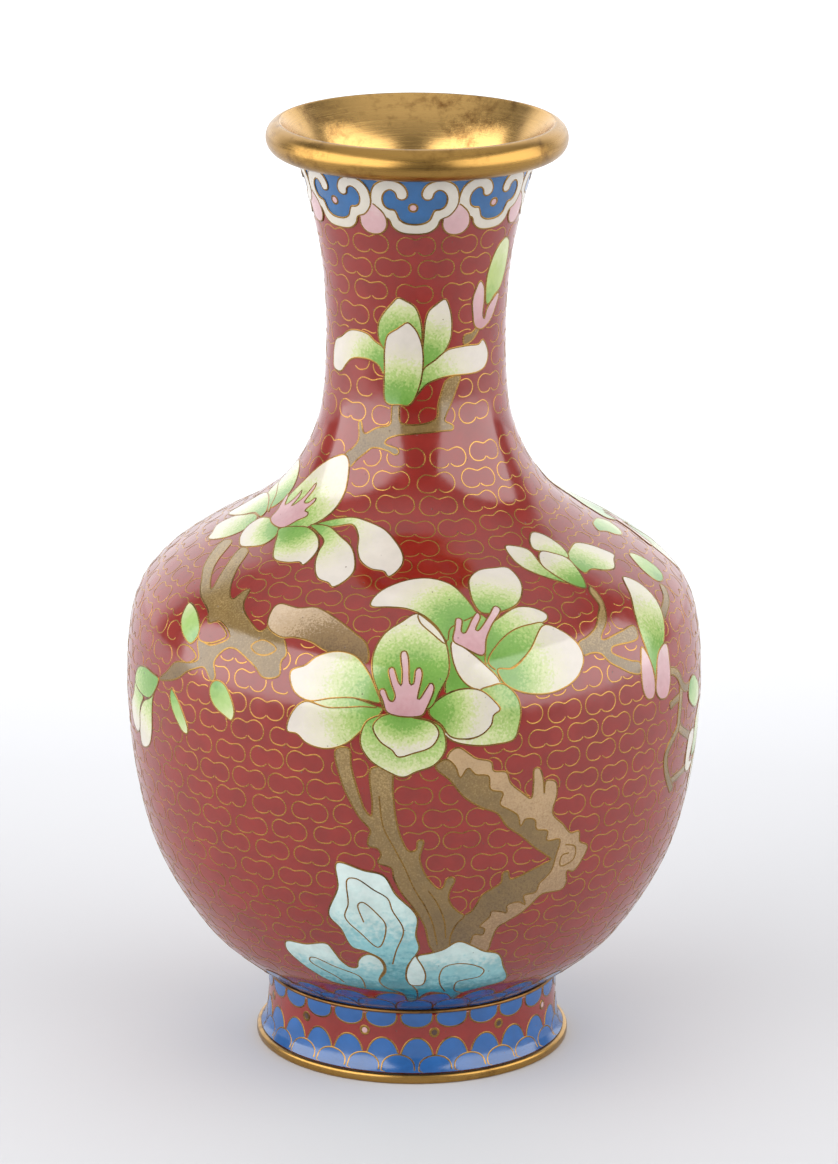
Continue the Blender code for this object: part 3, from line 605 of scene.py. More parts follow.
# %% Metal finish
def turned_metal(name, bright, dull, roughness, brushing=0.5, spots=0.5):
    """Brass or gilding with lathe marks, from its bright and dull colours."""
    made = bpy.data.materials.new(name)
    made.use_nodes = True
    nodes, links = nodes_of(made.node_tree)
    place = nodes.new("ShaderNodeTexCoord")
    flat = nodes.new("ShaderNodeVectorMath")
    flat.operation = "MULTIPLY"
    flat.inputs[1].default_value = (1, 1, 0)
    links.new(place.outputs["Object"], flat.inputs[0])
    radius = nodes.new("ShaderNodeVectorMath")
    radius.operation = "LENGTH"
    links.new(flat.outputs[0], radius.inputs[0])
    parts = nodes.new("ShaderNodeSeparateXYZ")
    links.new(place.outputs["Object"], parts.inputs[0])
    across = nodes.new("ShaderNodeMath")
    across.operation = "MULTIPLY_ADD"
    across.inputs[1].default_value = 0.75
    links.new(radius.outputs["Value"], across.inputs[0])
    links.new(parts.outputs["Z"], across.inputs[2])
    fine = nodes.new("ShaderNodeMath")
    fine.operation = "MULTIPLY"
    fine.inputs[1].default_value = 60.0
    links.new(across.outputs[0], fine.inputs[0])
    ringed = nodes.new("ShaderNodeCombineXYZ")
    links.new(parts.outputs["X"], ringed.inputs["X"])
    links.new(parts.outputs["Y"], ringed.inputs["Y"])
    links.new(fine.outputs[0], ringed.inputs["Z"])
    marks = nodes.new("ShaderNodeTexNoise")
    marks.inputs["Scale"].default_value = 60.0
    marks.inputs["Detail"].default_value = 6.0
    marks.inputs["Roughness"].default_value = 0.7
    links.new(ringed.outputs[0], marks.inputs["Vector"])
    age = nodes.new("ShaderNodeTexNoise")
    age.inputs["Scale"].default_value = 420.0
    age.inputs["Detail"].default_value = 6.0
    age.inputs["Roughness"].default_value = 0.75
    links.new(place.outputs["Object"], age.inputs["Vector"])
    broad = nodes.new("ShaderNodeTexNoise")
    broad.inputs["Scale"].default_value = 70.0
    links.new(place.outputs["Object"], broad.inputs["Vector"])
    patches = nodes.new("ShaderNodeMath")
    patches.operation = "MULTIPLY"
    links.new(age.outputs["Fac"], patches.inputs[0])
    links.new(broad.outputs["Fac"], patches.inputs[1])
    dulled = nodes.new("ShaderNodeMapRange")
    dulled.inputs["From Min"].default_value = 0.26
    dulled.inputs["From Max"].default_value = 0.42
    dulled.inputs["To Max"].default_value = spots
    links.new(patches.outputs[0], dulled.inputs["Value"])
    colour = nodes.new("ShaderNodeMix")
    colour.data_type = "RGBA"
    colour.inputs["A"].default_value = tint(*bright)
    colour.inputs["B"].default_value = tint(*dull)
    links.new(dulled.outputs["Result"], colour.inputs["Factor"])
    rougher = nodes.new("ShaderNodeMapRange")
    rougher.inputs["From Min"].default_value = 0.3
    rougher.inputs["From Max"].default_value = 0.7
    rougher.inputs["To Min"].default_value = roughness
    rougher.inputs["To Max"].default_value = roughness + 0.14
    links.new(marks.outputs["Fac"], rougher.inputs["Value"])
    grooves = nodes.new("ShaderNodeBump")
    grooves.inputs["Strength"].default_value = brushing
    grooves.inputs["Distance"].default_value = 0.00002
    links.new(marks.outputs["Fac"], grooves.inputs["Height"])
    surface = nodes.new("ShaderNodeBsdfPrincipled")
    surface.inputs["Metallic"].default_value = 1.0
    links.new(colour.outputs["Result"], surface.inputs["Base Color"])
    links.new(rougher.outputs["Result"], surface.inputs["Roughness"])
    links.new(grooves.outputs["Normal"], surface.inputs["Normal"])
    output = nodes.new("ShaderNodeOutputMaterial")
    links.new(surface.outputs[0], output.inputs["Surface"])
    return made


RING_BRASS = turned_metal("ring_brass", (166, 128, 68), (104, 72, 34), 0.22, brushing=0.55, spots=0.75)
GILDING = turned_metal("gilding", (196, 156, 94), (118, 78, 40), 0.17, brushing=0.7, spots=0.9)
WIRE_BRASS = turned_metal("wire_brass", (146, 112, 58), (84, 60, 36), 0.20, brushing=0.1, spots=0.9)
CLOUD_BRASS = turned_metal("cloud_brass", (172, 130, 66), (108, 74, 40), 0.20, brushing=0.1, spots=0.6)
SEAM_BRASS = turned_metal("seam_brass", (136, 98, 54), (74, 50, 34), 0.32, brushing=0.2, spots=0.9)
COPPER = turned_metal("aged_copper", (176, 106, 70), (84, 50, 36), 0.42, brushing=0.6, spots=0.9)
FIRED_LINING = enamel(
    "fired_lining", [(0, (70, 128, 132)), (1, (92, 150, 152))], grain=0.3, mottle=0.2, roughness=0.22
)
print("finishes in all:", len(bpy.data.materials))

# %% [markdown]
# ## Brass rings and the copper body
#
# The mouth ring is a bent rod soldered over the copper's edge. Its outer side is the round of the rod,
# and its inner side is hidden under the gilded funnel, so the section is a roll closed by a plain back.
# The foot rim is a flatter strip with worn edges, and a thin round wire covers the seam above the foot.

# %% Rings
def circle_section(radius, height, tube, count):
    """The round section of a rod at that radius and height."""
    turns = np.arange(count) * 2 * math.pi / count
    return np.stack([radius + tube * np.cos(turns), height + tube * np.sin(turns)], -1)


TUBE = (ring_high.z - ring_low.z) / 2
RING_RADIUS = ring_high.x - TUBE
ring_middle = ring_low.z + TUBE
ROLL_TOP, ROLL_FOOT, ROLL_STEP = 78, -130, -8


def beside_rod(offsets):
    """Corners (radius, height) from their millimetres outwards and upwards of the rod's middle."""
    return [(RING_RADIUS + out * MM, ring_middle + up * MM) for out, up in offsets]


roll_section = [
    (RING_RADIUS + TUBE * math.cos(math.radians(turn)), ring_middle + TUBE * math.sin(math.radians(turn)))
    for turn in range(ROLL_TOP, ROLL_FOOT - 1, ROLL_STEP)
]
roll_back = beside_rod(((-1.9, -1.6), (-0.9, -0.2), (0.1, 1.8)))
turned_solid("mouth_ring_brass", roll_section + roll_back, RING_BRASS, ["mouth_ring"], columns=256)


def rounded(corners, reach, steps=5):
    """The same section with each corner rounded off, starting that far from it."""
    points = []
    corners = [Vector(corner) for corner in corners]
    for before, corner, after in zip(corners[-1:] + corners[:-1], corners, corners[1:] + corners[:1]):
        start = corner + (before - corner).normalized() * reach
        end = corner + (after - corner).normalized() * reach
        for step in range(steps + 1):
            share = step / steps
            points.append(start.lerp(corner, share).lerp(corner.lerp(end, share), share))
    return [tuple(point) for point in points]


RIM_WIDTH = 0.0042
RIM_WEAR = 0.0007
RIM_OUTER = rim_high.x
RIM_INNER = RIM_OUTER - RIM_WIDTH
rim_corners = [
    (RIM_INNER, rim_low.z), (RIM_OUTER, rim_low.z), (RIM_OUTER, rim_high.z), (RIM_INNER, rim_high.z)
]
turned_solid("foot_rim_brass", rounded(rim_corners, RIM_WEAR), RING_BRASS, ["foot_rim"], columns=256)
seam_tube = (seam_high.z - seam_low.z) / 2
turned_solid(
    "seam_ring_brass",
    circle_section(seam_high.x - seam_tube, seam_low.z + seam_tube, seam_tube, 12),
    SEAM_BRASS,
    ["seam_wire"],
)
print("the mouth ring is a", round(2 * TUBE / MM, 1), "mm rod,", round(2 * RING_RADIUS / MM, 1), "mm across")

# %% [markdown]
# The neck's copper shows inside the mouth, where it is gilded and worked smoothly over the ring's inner
# side. It is turned again here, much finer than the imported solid, so that the funnel reflects as a true
# curve, with the tall dark band of the gap between the lamps.

# %% Neck shell
SHELL_DEPTH = 0.0013
SHELL_WALL = 0.0012
SHELL_ROWS = 120
WIDEST_RISE = 73.2
FUNNEL_DEPTH = 26
INSIDE_TOP = BODY_LENGTH - FUNNEL_DEPTH
outside, _ = BODY.at(90.0, np.linspace(WIDEST_RISE, BODY_LENGTH, SHELL_ROWS), -SHELL_DEPTH)
inside, _ = BODY.at(90.0, np.linspace(INSIDE_TOP, WIDEST_RISE, SHELL_ROWS), -SHELL_DEPTH - SHELL_WALL)
hidden_lip = beside_rod(((-3.1, -2.5), (-1.9, -0.5), (-0.6, 1.3), (0.35, 2.8)))
shown_lip = beside_rod((
    (0.78, 3.30), (0.62, 3.36), (0.40, 3.22), (-0.25, 2.50), (-1.6, 0.90), (-3.1, -1.0), (-4.4, -3.0),
    (-5.55, -5.1), (-6.5, -7.4), (-7.3, -9.9), (-8.45, -14.3), (-9.45, -19.7), (-10.2, -25.15)
))
funnel = smooth([*shown_lip, tuple(inside[0, [0, 2]])], 6)
shell_section = np.concatenate([outside[:, [0, 2]], hidden_lip, funnel, inside[1:, [0, 2]]])
turned_solid("gilded_shell", shell_section, GILDING, ["upper_body_shell"])
print("the gilded shell has", len(shell_section), "corners in its section")

# %% [markdown]
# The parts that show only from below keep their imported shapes, and get the finish of the real thing:
# dark, oxidised copper under the foot, and the thin glass that is always fired on the inside as well, so
# that the cooling glass doesn't bend the copper.

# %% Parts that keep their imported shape
def refinish(node, finish):
    """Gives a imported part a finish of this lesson."""
    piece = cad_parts[node]
    for place in piece.material_slots:
        place.material = finish


COPPER_PARTS = ("lower_body_shell", "foot_skirt")
LINED_PARTS = ("counter_enamel", "base_enamel")
for node in COPPER_PARTS:
    refinish(node, COPPER)
for node in LINED_PARTS:
    refinish(node, FIRED_LINING)
print("aged copper:", COPPER_PARTS, "fired lining:", LINED_PARTS)

# %% [markdown]
# ## The red ground and the blue foot
#
# A sheet of glass is a closed skin: an outside on the vase's outline, and an underside one glass
# thickness further in. The red ground runs right up under the pictures, which lie a hair above it.

# %% Grounds
GLASS = 0.0009
CELL_LIFT = 0.00004
GROUND_START = 0.3
body_section = sheet_section(BODY, GROUND_START, BODY_LENGTH, 0.0, GLASS)
pockets = [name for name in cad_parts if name.startswith("red_pocket")]
turned_solid("red_ground_glass", body_section, RED_GLASS, ["red_ground", *pockets])
foot_section = sheet_section(FOOT, 0.0, FOOT_LENGTH, 0.0, GLASS, 0.6)
turned_solid("foot_red_glass", foot_section, RED_GLASS, ["foot_ground"])
print("the red ground also fills", len(pockets), "pockets between the stems")

# %% [markdown]
# ## Cells of glass
#
# A cell is drawn as a few corners in (degrees, millimetres), smoothed to a closed curve. Triangulating
# the curve together with a grid of inner points keeps every triangle small enough to follow the vase.
# Where two cells overlap, the one in front lies two hundredths of a millimetre higher and hides the other.

# %% Drawing tools
EDGE_STEP = 0.55
GRID_STEP = 1.3
LAYER = 0.000018


def scale_at(points, outline):
    """Millimetres for one degree and one millimetre, at the middle of these drawing points."""
    middle = (points[:, 1].min() + points[:, 1].max()) / 2
    return np.array([float(outline.per_degree(middle)), 1.0])


def even_steps(line, step, closed):
    """The same line with points at even distances, in millimetres."""
    if closed:
        line = np.concatenate([line, line[:1]])
    gone = np.concatenate([[0], np.cumsum(np.linalg.norm(np.diff(line, axis=0), axis=1))])
    count = max(8 if closed else 2, int(round(gone[-1] / step)))
    wanted = np.linspace(0, gone[-1], count + 1)
    even = np.stack([np.interp(wanted, gone, line[:, axis]) for axis in (0, 1)], -1)
    return even[:-1] if closed else even


def drawn(corners, outline=BODY, closed=True, step=EDGE_STEP):
    """A smooth line through the corners, with points at even distances along it."""
    corners = np.asarray(corners, float)
    scale = scale_at(corners, outline)
    return even_steps(smooth(corners * scale, 10, closed), step, closed) / scale


def covered(points, loop):
    """Which of the drawing points lie inside a closed loop."""
    x, y = points[:, 0][:, None], points[:, 1][:, None]
    x1, y1 = loop[:, 0], loop[:, 1]
    x2, y2 = np.roll(x1, -1), np.roll(y1, -1)
    between = (y1 > y) != (y2 > y)
    with np.errstate(divide="ignore", invalid="ignore"):
        crossing = x1 + (y - y1) * (x2 - x1) / (y2 - y1)
    return (between & (x < crossing)).sum(1) % 2 == 1


def area_of(loop):
    """The area in a loop, negative if it runs clockwise."""
    return 0.5 * float(np.sum(loop[:, 0] * np.roll(loop[:, 1], -1) - np.roll(loop[:, 0], -1) * loop[:, 1]))


def triangulated(loop, outline):
    """Drawing points and triangles that fill a closed loop."""
    scale = scale_at(loop, outline)
    flat = loop * scale
    if area_of(flat) < 0:
        flat = flat[::-1]
    low, high = flat.min(0), flat.max(0)
    step = min(GRID_STEP, 0.35 * float(min(high - low)) + 0.2)
    rows = np.arange(low[1] + 0.4 * step, high[1], step * 0.87)
    grid = [
        (x + (step / 2 if index % 2 else 0), y)
        for index, y in enumerate(rows)
        for x in np.arange(low[0] + 0.3 * step, high[0], step)
    ]
    if grid:
        grid = np.array(grid)
        grid = grid[covered(grid, flat)]
        gaps = np.linalg.norm(grid[:, None] - flat[None], axis=2).min(1)
        grid = grid[gaps > 0.45 * step]
    points = np.concatenate([flat, grid]) if len(grid) else flat
    count = len(flat)
    edges = [(index, (index + 1) % count) for index in range(count)]
    found = delaunay_2d_cdt([Vector(point) for point in points], edges, [], 0, 1e-5, False)
    points = np.array([tuple(point) for point in found[0]])
    triangles = np.array(found[2])
    triangles = triangles[covered(points[triangles].mean(1), flat)]
    turned = points[triangles]
    first, second = turned[:, 1] - turned[:, 0], turned[:, 2] - turned[:, 0]
    backwards = first[:, 0] * second[:, 1] - first[:, 1] * second[:, 0] < 0
    triangles[backwards] = triangles[backwards][:, ::-1]
    return points / scale, triangles


class Cell:
    """One fenced field of glass: its outline, its root, and how its shade runs from there."""

    def __init__(self, corners, root=None, reach=(0.0, 1.0), outline=BODY, open_below=None):
        self.loop = drawn(corners, outline)
        self.outline = outline
        self.root = root
        self.reach = reach
        self.layer = 0
        self.open_below = open_below

    def fence(self):
        """The line of its wire, and whether that is closed. A scallop has no wire along its foot."""
        if self.open_below is None:
            return self.loop, True
        off = np.abs(self.loop[:, 1] - self.open_below) < 0.12
        first = int(np.argmax(off & ~np.roll(off, -1)))
        line = np.roll(self.loop, -first - 1, axis=0)
        return line[~np.roll(off, -first - 1)], False

    def shade(self, points):
        """0 to 1 over the cell: the distance from its root or, with no root, the height in the cell."""
        scale = scale_at(self.loop, self.outline)
        if self.root is None:
            gone = points[:, 1] - self.loop[:, 1].min()
            longest = np.ptp(self.loop[:, 1])
        else:
            gone = np.linalg.norm((points - np.array(self.root)) * scale, axis=1)
            edge = np.linalg.norm((self.loop - np.array(self.root)) * scale, axis=1)
            gone = gone - edge.min()
            longest = edge.max() - edge.min()
        share = np.clip(gone / longest, 0, 1)
        return self.reach[0] + share * (self.reach[1] - self.reach[0])


print("a cell's edge has a point every", EDGE_STEP, "mm, and its inside every", GRID_STEP, "mm")

# %% [markdown]
# A group of cells becomes one mesh. Each cell is a closed inlay, so that it is glass with a thickness: its
# top and its underside have the same triangles, and a wall joins them along the rim.

# %% Inlays
SKIRT = 0.00025


def glass_piece(name, cells, finish, replaced=()):
    """One mesh of closed inlays, each a top, an underside and a wall between them."""
    points, facing, faces, reach = [], [], [], []
    start = 0
    for cell in cells:
        flat, triangles = triangulated(cell.loop, cell.outline)
        lift = CELL_LIFT + cell.layer * LAYER
        top, out = cell.outline.at(flat[:, 0], flat[:, 1], lift)
        bottom, _ = cell.outline.at(flat[:, 0], flat[:, 1], lift - SKIRT)
        count = len(flat)
        sides = np.concatenate([triangles[:, [0, 1]], triangles[:, [1, 2]], triangles[:, [2, 0]]])
        keys = sides[:, 0] * count + sides[:, 1]
        twins = sides[:, 1] * count + sides[:, 0]
        rim = sides[~np.isin(keys, twins)]
        walls = [
            np.stack([rim[:, 1], rim[:, 0], rim[:, 0] + count], -1),
            np.stack([rim[:, 1], rim[:, 0] + count, rim[:, 1] + count], -1),
        ]
        faces.append(np.concatenate([triangles, triangles[:, ::-1] + count, *walls]) + start)
        points += [top, bottom]
        facing += [out, out]
        shade = cell.shade(flat)
        reach += [shade, shade]
        start += 2 * count
    return add_piece(
        name,
        np.concatenate(points),
        np.concatenate(faces),
        np.concatenate(facing),
        finish,
        replaced,
        np.concatenate(reach),
    )


# %% [markdown]
# ## Wires
#
# Each wire is a thin strip of brass bent on edge. After polishing only its top edge shows, level with
# the glass and mirror-bright where it faces a lamp. A strip with a flat top and steep sides is swept
# along each line, and a line stops where a nearer cell covers it. The shape across the strip is four
# corners, and leaning surface directions at its top edges make it catch light as a slightly worn edge.

# %% Wire tools
WIRE_WIDTH = 0.00042
WIRE_TOP = 0.00007
WIRE_FOOT = 0.00010
WIRE_CREST = 0.62


def uncovered_runs(line, closed, loops):
    """Parts of a line outside every one of the loops, each with whether it is still closed."""
    low, high = line.min(0), line.max(0)
    hidden = np.zeros(len(line), bool)
    for loop in loops:
        if (loop.min(0) > high).any() or (loop.max(0) < low).any():
            continue
        hidden |= covered(line, loop)
    if not hidden.any():
        return [(line, closed)]
    if hidden.all():
        return []
    if closed:
        first = int(np.argmax(hidden))
        line = np.roll(line, -first, axis=0)
        hidden = np.roll(hidden, -first)
    runs, run = [], []
    for index in range(len(line)):
        if hidden[index]:
            if len(run) > 2:
                runs.append((line[run], False))
            run = []
        else:
            run.append(index)
    if len(run) > 2:
        runs.append((line[run], False))
    return runs


def wire_piece(name, lines, width=WIRE_WIDTH, top=WIRE_TOP, finish=None, replaced=()):
    """One mesh of wires. lines holds (drawing points, closed, outline, layer)."""
    points, facing, faces = [], [], []
    start = 0
    half = width / 2 / MM
    for line, closed, outline, layer in lines:
        scale = np.stack([outline.per_degree(line[:, 1]), np.ones(len(line))], -1)
        if closed:
            along = (np.roll(line, -1, axis=0) - np.roll(line, 1, axis=0)) * scale
        else:
            along = np.gradient(line, axis=0) * scale
        along /= np.linalg.norm(along, axis=1)[:, None] + 1e-9
        aside = np.stack([-along[:, 1], along[:, 0]], -1) / scale
        lift = top + layer * LAYER
        rows = []
        sunk = lift - WIRE_FOOT
        for share, height in ((1.0, sunk), (WIRE_CREST, lift), (-WIRE_CREST, lift), (-1.0, sunk)):
            place = line + aside * half * share
            row, out = outline.at(place[:, 0], place[:, 1], height)
            rows.append(row)
        sideways = rows[0] - rows[3]
        sideways /= np.linalg.norm(sideways, axis=1)[:, None] + 1e-12
        count = len(line)
        points.append(np.stack(rows, 1).reshape(-1, 3))
        leaning = [out + 1.2 * sideways, out + 0.15 * sideways, out - 0.15 * sideways, out - 1.2 * sideways]
        facing.append(np.stack(leaning, 1).reshape(-1, 3))
        here = np.arange(count if closed else count - 1)
        there = (here + 1) % count
        for a, b in ((0, 1), (1, 2), (2, 3), (3, 0)):
            faces.append(np.stack([here * 4 + a, here * 4 + b, there * 4 + b, there * 4 + a], -1) + start)
        if not closed:
            last = (count - 1) * 4
            faces.append(np.array([[3, 2, 1, 0], [last, last + 1, last + 2, last + 3]]) + start)
        start += 4 * count
    facing = np.concatenate(facing)
    facing /= np.linalg.norm(facing, axis=1)[:, None]
    finish = finish or WIRE_BRASS
    return add_piece(name, np.concatenate(points), np.concatenate(faces), facing, finish, replaced)


def inner_line(corners, outline=BODY, closed=False, layer=0):
    """A wire inside a cell, drawn on its own."""
    return (drawn(corners, outline, closed, 0.45), closed, outline, layer)


PICTURE = []


def picture(name, cells, finish, slot, replaced=(), lines=()):
    """Keeps one group of cells for later. Groups are given from the front of the picture to the back."""
    PICTURE.append((name, cells, finish, slot, replaced, list(lines)))
    print(name, "has", len(cells), "cell" if len(cells) == 1 else "cells")


BELLY_DEGREE = round(float(BODY.per_degree(WIDEST_RISE)), 2)
THROAT_DEGREE = round(float(BODY.radius.min()) * math.pi / 180 / MM, 2)
print("one degree is", BELLY_DEGREE, "mm round the belly and", THROAT_DEGREE, "mm round the throat")

# %% [markdown]
# ## The magnolia in the middle
#
# The largest flower faces the viewer. Its petals are separate cells that all start at one green root,
# and each turned-back lip is a narrow cell of its own. The pink stamens stand in front like a small
# hand. The corners below are in (degrees, millimetres), read round each cell.

# %% Centre magnolia
HEART = (-2, 87)
centre_stamens = [
    Cell(
        [(-5, 86), (1.5, 85.5), (2.4, 87), (3.9, 91.4), (3.3, 92.2), (2.3, 90.8), (1.1, 88.9), (0.7, 88.8),
         (1.6, 94.3), (1.1, 95.3), (0.4, 94.9), (-0.1, 92.0), (-0.7, 91.8), (-1.2, 97.4), (-1.8, 98.8),
         (-2.6, 98.5), (-2.3, 94), (-2.5, 91.6), (-3.1, 92.4), (-4.2, 95.3), (-5, 94.9), (-4.5, 92.3),
         (-3.6, 89.3), (-4.1, 88.3), (-4.7, 88.5), (-5.9, 90.9), (-6.7, 90.4), (-6, 88.5)],
        root=(-2, 85), reach=(0.1, 0.85),
    )
]
centre_petals = [
    Cell([(-7.8, 83), (-6, 85.3), (-3, 85.7), (0, 85), (3.5, 84), (4.8, 81.8), (3.5, 79), (0, 77.5),
          (-3, 76.7), (-4, 78), (-6.5, 80)], root=(-2, 88), reach=(0.0, 0.9)),
    Cell([(-9, 84), (-10.2, 79.5), (-8.5, 76), (-5, 73.5), (-2, 72.3), (0.5, 73.5), (4, 75), (6, 78),
          (6, 81), (5, 83.3), (0, 85.2), (-5, 85.6)], root=(-1, 90), reach=(0.0, 0.70)),
    Cell([(0.9, 107.6), (1.3, 105.6), (3.8, 102.9), (6.5, 100.4), (6.3, 101.6),
          (4.4, 104.6)], reach=(0.75, 0.9)),
    Cell([(0.8, 107.8), (-3, 105.5), (-6.5, 102.5), (-8.3, 98), (-8.2, 94), (-7, 90.5), (-5, 86),
          (3, 87), (5, 90.5), (6.8, 94), (7, 98), (6.5, 101),
          (4.5, 104.5)], root=(0, 89), reach=(0.0, 0.86)),
    Cell([(-25, 92.8), (-22, 94.5), (-20, 96.5), (-16, 98), (-12, 97.3), (-9, 94), (-7.3, 90.5), (-6.5, 88),
          (-9, 88.3), (-12, 88.7), (-16, 88.3), (-21, 87.3), (-24, 89)], root=HEART, reach=(0.1, 1.1)),
    Cell([(-20, 87.3), (-16, 88.4), (-12, 88.7), (-7, 87), (-10, 87), (-14, 86.5), (-17, 86.3)],
         root=HEART, reach=(0.05, 0.75)),
    Cell([(-21.5, 87), (-24, 84.5), (-25, 80.3), (-23, 80), (-21, 78.3), (-17, 77.5), (-13, 79),
          (-10, 82), (-7, 85), (-6, 86.8), (-10, 87), (-17, 86.3)], root=HEART, reach=(0.1, 1.1)),
    Cell([(3, 87), (5.5, 89.3), (9, 90.7), (13, 90.3), (16, 87.5), (16.8, 86), (15.5, 85), (15, 83),
          (13, 81), (10, 80.3), (7, 81), (5.3, 83.5), (3, 85.7)], root=(2, 86.5), reach=(0.0, 1.05)),
    Cell([(17.5, 91.3), (20, 89), (21, 86), (20.5, 82), (19.5, 79.5), (16, 78.8), (12, 78.8), (7.5, 80),
          (5.5, 82), (10, 80.2), (13, 81), (15, 83), (15.5, 85), (16.9, 86), (16, 87.6), (13, 90.3),
          (15, 91)],
         root=(24, 92), reach=(0.3, 0.75)),
]
picture("centre_stamens", centre_stamens, PINK_GLASS, "petal_enamel")
picture("centre_magnolia_petals", centre_petals, PETAL_GLASS, "petal_enamel", ["magnolia_centre"])

# %% Magnolia behind it
behind_stamens = [
    Cell(
        [(8.3, 101), (9, 104), (9.7, 106.4), (10.8, 106.1), (10.3, 103), (10.9, 102.6), (13.4, 106.2),
         (14.9, 107.6), (15.3, 106.6), (13.5, 103.3), (13.9, 103), (17.6, 106.8), (19.6, 108.9),
         (20.6, 108), (17.4, 104.2), (15.4, 101), (14.2, 97.5), (10, 99.7)],
        root=(11, 97), reach=(0.1, 0.85),
    )
]
behind_petals = [
    Cell([(8, 100.8), (10, 99.7), (14, 95.8), (17, 92), (17, 90.7), (13, 90.3), (10, 92), (8, 96)],
         reach=(0.82, 1.0)),
    Cell([(16.8, 94.3), (20, 94.3), (24, 97.3), (29.5, 102.7), (33, 100.8), (35.5, 97.5), (36, 94),
          (33.5, 90.3), (28, 88.3), (22, 89), (18, 91.3)], root=(16, 92.5), reach=(0.05, 1.15)),
    Cell([(15, 96), (18, 100), (22, 102.5), (26, 103.3), (29.5, 103.2), (27, 100), (23, 96.5),
          (20, 94.5), (17, 94)],
         root=(15, 94.5), reach=(0.0, 0.55)),
    Cell([(16.5, 103.5), (20, 106), (25, 108), (29, 107.2), (31.4, 105), (30.5, 103.7), (25, 103.2),
          (20, 101.5), (16.5, 98), (14.5, 95.5)], root=(12, 97), reach=(0.0, 0.95)),
    Cell([(14.5, 113), (15.5, 117), (19, 119.2), (24, 119.5), (28.3, 119), (29.5, 115), (28, 111.5),
          (25, 108.7), (20, 107.3), (16, 107.5), (14.8, 109.5)], root=(16, 102), reach=(0.15, 1.15)),
    Cell([(-10.7, 110.8), (-9, 113.5), (-5, 116), (0, 117.5), (5, 117.5), (10, 115.5), (13, 111.5),
          (14.3, 108.5), (14.5, 107.3), (8, 104), (7, 101), (5, 104.5), (2, 107.5), (-2, 109.2),
          (-6, 109.5), (-10.5, 109.5)],
         root=(11, 104), reach=(0.0, 1.2)),
    Cell([(6.4, 89.8), (6.6, 95), (6.9, 100.5), (8.2, 104.4), (11, 106), (14.5, 107.6), (17, 105),
          (15.5, 97.5), (19, 93), (18, 90.5), (12, 89.8)], root=(10, 96), reach=(0.0, 0.35)),
]
picture("rear_stamens", behind_stamens, PINK_GLASS, "petal_enamel")
picture("rear_magnolia_petals", behind_petals, PETAL_GLASS, "petal_enamel", ["magnolia_behind"])

# %% [markdown]
# ## The magnolia on the left shoulder
#
# This one opens upwards. Three wide petals hang over its stalk, and four narrow ones lie on top of each
# other towards the side of the vase.

# %% Left magnolia
left_stamens = [
    Cell(
        [(-66, 129.5), (-69, 132), (-70.3, 133.9), (-68.6, 133.6), (-64.8, 131.6), (-62.6, 134),
         (-61.6, 136.2), (-60.5, 135), (-60.4, 132), (-57.5, 134.5), (-54.5, 138.8), (-53.6, 138),
         (-54.8, 134), (-52.5, 134), (-49.6, 135.8), (-49, 135), (-51, 132.2), (-48.4, 132),
         (-47.8, 131.2), (-50.4, 129.6), (-54, 126.6), (-60, 126.4), (-65, 127.5)],
        root=(-58, 126), reach=(0.0, 0.7),
    )
]
left_petals = [
    Cell([(-45, 128.5), (-40, 128), (-36, 126.5), (-33.5, 124), (-33.3, 121), (-34.5, 118.5), (-36, 119.2),
          (-40, 118.3), (-45, 118.3), (-49, 121), (-52.5, 124),
          (-55, 126)], root=(-50, 129), reach=(0.0, 1.05)),
    Cell([(-43, 129.3), (-35, 130), (-28, 128), (-22, 125.5), (-19, 122), (-18, 118.5), (-20, 115),
          (-22, 113.7), (-23.5, 114.7), (-27, 115.5), (-30.5, 119), (-32.5, 123), (-33, 126), (-38, 128)],
         root=(-43, 129), reach=(0.05, 1.25)),
    Cell([(-43, 129), (-38, 131), (-32, 132.5), (-26, 133.2), (-20, 132.7), (-12, 131), (-7, 128),
          (-4, 124.5), (-4, 121.5), (-7.5, 118), (-9, 119.5), (-13, 120), (-17, 122), (-19.5, 125),
          (-21, 128.5), (-24, 131), (-26, 131.5), (-33, 130.2)], root=(-43, 129), reach=(0.0, 1.35)),
    Cell([(-55.5, 126), (-53.5, 124), (-54.5, 121), (-58, 119.3), (-62, 118.3), (-65, 119), (-69, 120.8),
          (-71.5, 123.5), (-70.5, 126), (-66, 127.2), (-60, 126.8)], root=(-54, 129), reach=(0.0, 1.05)),
    Cell([(-68, 134), (-65, 138), (-60, 141.5), (-53, 144.3), (-47, 145.7), (-42, 146.3),
          (-38.5, 145.3), (-36, 142), (-35, 138.5), (-36.5, 134.5), (-40, 131), (-43.5, 129),
          (-47, 128), (-55, 127), (-64, 130)],
         root=(-58, 127), reach=(0.1, 1.15)),
    Cell([(-72, 125.5), (-70.5, 122.5), (-72, 119), (-76, 116), (-80, 114.7), (-83, 116), (-88, 117.5),
          (-88, 121), (-82, 124), (-77, 125.8)], root=(-68, 126), reach=(0.2, 1.0)),
    Cell([(-71, 126.5), (-78, 126), (-86, 122.5), (-95, 120), (-97, 124), (-95, 128.5), (-90, 130),
          (-80, 130), (-72, 128)], root=(-68, 127.5), reach=(0.1, 1.0)),
    Cell([(-70, 128.2), (-80, 129.8), (-90, 130.2), (-97, 133), (-90, 133), (-80, 132), (-72, 129)],
         root=(-68, 128), reach=(0.1, 0.8)),
    Cell([(-70, 134), (-72, 137), (-78, 139.5), (-88, 140.3), (-97, 138), (-98, 134), (-90, 132.8),
          (-80, 131.5), (-72, 129.3)], root=(-67, 130), reach=(0.1, 1.0)),
]
picture("left_stamens", left_stamens, PINK_GLASS, "petal_enamel")
